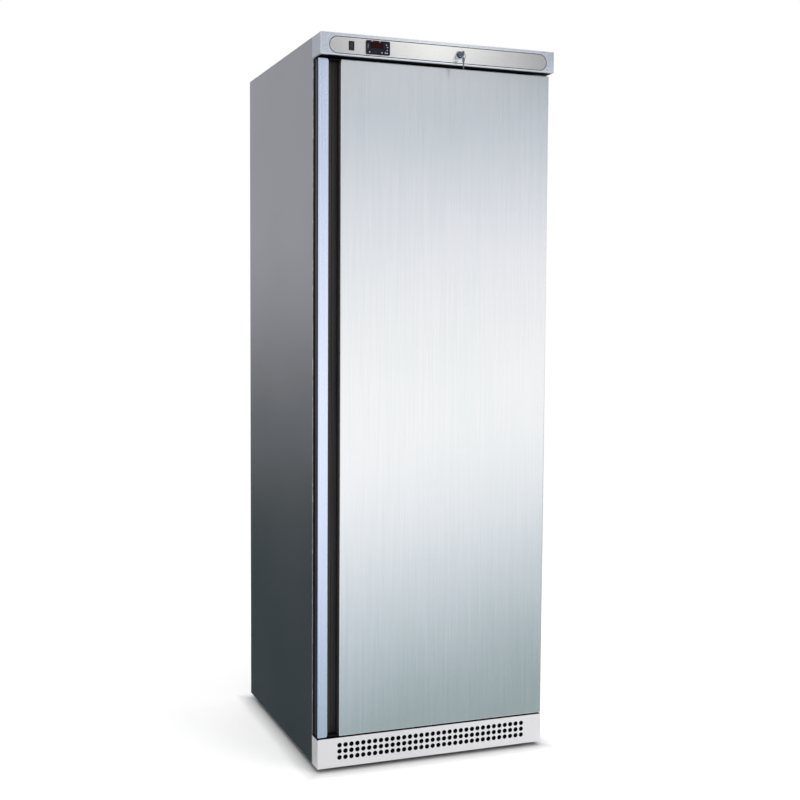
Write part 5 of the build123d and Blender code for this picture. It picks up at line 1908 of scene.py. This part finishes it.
@dataclass
class Studio:
    """Pale floor, soft lamps, cards and the camera.

    Attributes:
        eye: Place of the camera.
        yaw: Turn of the camera to the right of straight ahead.
        pitch: Its tilt upwards.
        roll: Its lean.
        lens: Focal length on a sensor 36 mm wide.
        floor: Half the width of the floor.
        ambient: Strength of the even light from all round.
        lamps: Name, place, size and power of each soft lamp.
        aim: What the lamps look at.
    """

    eye: Point = (-1159.0, -3115.55, 1097.0)
    yaw: float = 0.364
    pitch: float = -0.066
    roll: float = 0.006
    lens: float = 55.77
    floor: float = 14000.0
    ambient: float = 0.5
    lamps: tuple[tuple[str, Point, float, float], ...] = (
        ("key_lamp", (2300, -3700, 2900), 2600, 84.0),
        ("fill_lamp", (-3600, -2200, 2400), 2600, 5.0),
        ("top_lamp", (0, 0, 4200), 3000, 44.0),
        ("back_lamp", (600, 3600, 2600), 2600, 36.0),
    )
    aim: Point = (0, 0, 850)

    def build(self) -> None:
        """Builds the whole studio."""
        bpy.context.scene.view_settings.view_transform = "Standard"
        self._world()
        half = self.floor
        laid("studio_floor", FloorPaint(), (-half, -half, 0), (half, half, 0))
        self._lamps()
        for card in CARDS:
            card.build()
        self._camera()

    def _world(self) -> None:
        """Makes the surroundings white to the eye and in reflections, and even as a light."""
        world = bpy.data.worlds.new("white_surroundings")
        bpy.context.scene.world = world
        tree = emptied(world)
        strength = mapped(tree, seen(tree), 0.0, 1.0, self.ambient, 1.0)
        sky = add_node(tree, "ShaderNodeBackground", {"Color": WHITE, "Strength": strength})
        add_node(tree, "ShaderNodeOutputWorld", {"Surface": sky})

    def _lamps(self) -> None:
        """Hangs large soft lamps that reflections don't see."""
        for name, place, size, power in self.lamps:
            data = bpy.data.lights.new(name, "AREA")
            data.size = size * MM
            data.energy = power
            lamp = linked(name, data)
            lamp.location = Vector(place) * MM
            way = Vector(self.aim) * MM - lamp.location
            lamp.rotation_euler = way.to_track_quat("-Z", "Y").to_euler()
            lamp.visible_glossy = False

    def _camera(self) -> None:
        """Sets the camera where the photograph was taken."""
        cos, sin = math.cos, math.sin
        ahead = Vector(
            (sin(self.yaw) * cos(self.pitch), cos(self.yaw) * cos(self.pitch), sin(self.pitch))
        )
        level = Vector((cos(self.yaw), -sin(self.yaw), 0))
        upright = level.cross(ahead)
        right = cos(self.roll) * level + sin(self.roll) * upright
        up = cos(self.roll) * upright - sin(self.roll) * level
        turn = Matrix((right, up, -ahead)).transposed().to_4x4()
        data = bpy.data.cameras.new("studio_camera")
        data.lens = self.lens
        data.sensor_width = 36.0
        camera = linked("studio_camera", data)
        camera.matrix_world = Matrix.Translation(Vector(self.eye) * MM) @ turn
        bpy.context.scene.camera = camera


# The first three shape the reflections in the door and the fascia's band, the others those in the
# left side.
CARDS = (
    Card(
        "front_card", (-1500, -7500, 0), (9000, -7500, 7000), (-0.05, 0, 1),
        (
            (180, "fcfbfa"), (1080, "f0eff0"), (1960, "dcdee6"), (2400, "c6ccd6"),
            (2840, "8f9ca8"), (3480, "53606a"), (7480, "4c565e"),
        ),
        1.42,
    ),
    Card(
        "fascia_card", (900, -7480, 3262), (5400, -7480, 4700), (1, 0, 0),
        (
            (1900, "c8c9cc"), (2081, "d0d0d3"), (2292, "dededf"), (2620, "ececed"), (2952, "fcfcfc"),
            (3292, "e8e8e9"), (3642, "c2c2c4"), (3878, "9c9c9f"), (4060, "848488"),
        ),
        1.35,
    ),
    Card(
        "front_floor_card", (-1500, -7490, 3), (9000, -420, 3), (-0.7, -1, 0),
        (
            (400, "8a999b"), (660, "92a1a5"), (1040, "a8b4ba"), (1550, "c3cbd3"),
            (2280, "dce0e6"), (3400, "f2f2f5"), (5350, "fcfbfa"),
        ),
        1.42,
    ),
    Card(
        "side_card", (-6000, 6000, 0), (-301, 6000, 7000), (0, 0, 1),
        (
            (0, "707476"), (370, "7a7e80"), (760, "98999c"), (1150, "b2b2b7"), (1600, "bebdc3"),
            (7000, "bebdc3"),
        ),
    ),
    Card(
        "side_floor_card", (-6000, -260, 3), (-301, 5990, 3), (0, 1, 0),
        ((-260, "3c4648"), (1200, "404a4c"), (2100, "444e50"), (3500, "505859"), (5990, "686d6f")),
    ),
)


def main() -> None:
    """Builds every sub-assembly in order, then the studio."""
    logging.basicConfig(level=logging.INFO, format="%(name)s: %(message)s")
    parts = (
        Cabinet(), Plinth(), Fascia(), Controls(), DoorLock(), Hinges(), Door(), Grip(),
        Shelves(), Circulation(), ColdUnit(), Footing(),
    )
    for part in parts:
        part.build()
        log.info("%s is built", type(part).__name__)
    Studio().build()


if __name__ == "__main__":
    main()
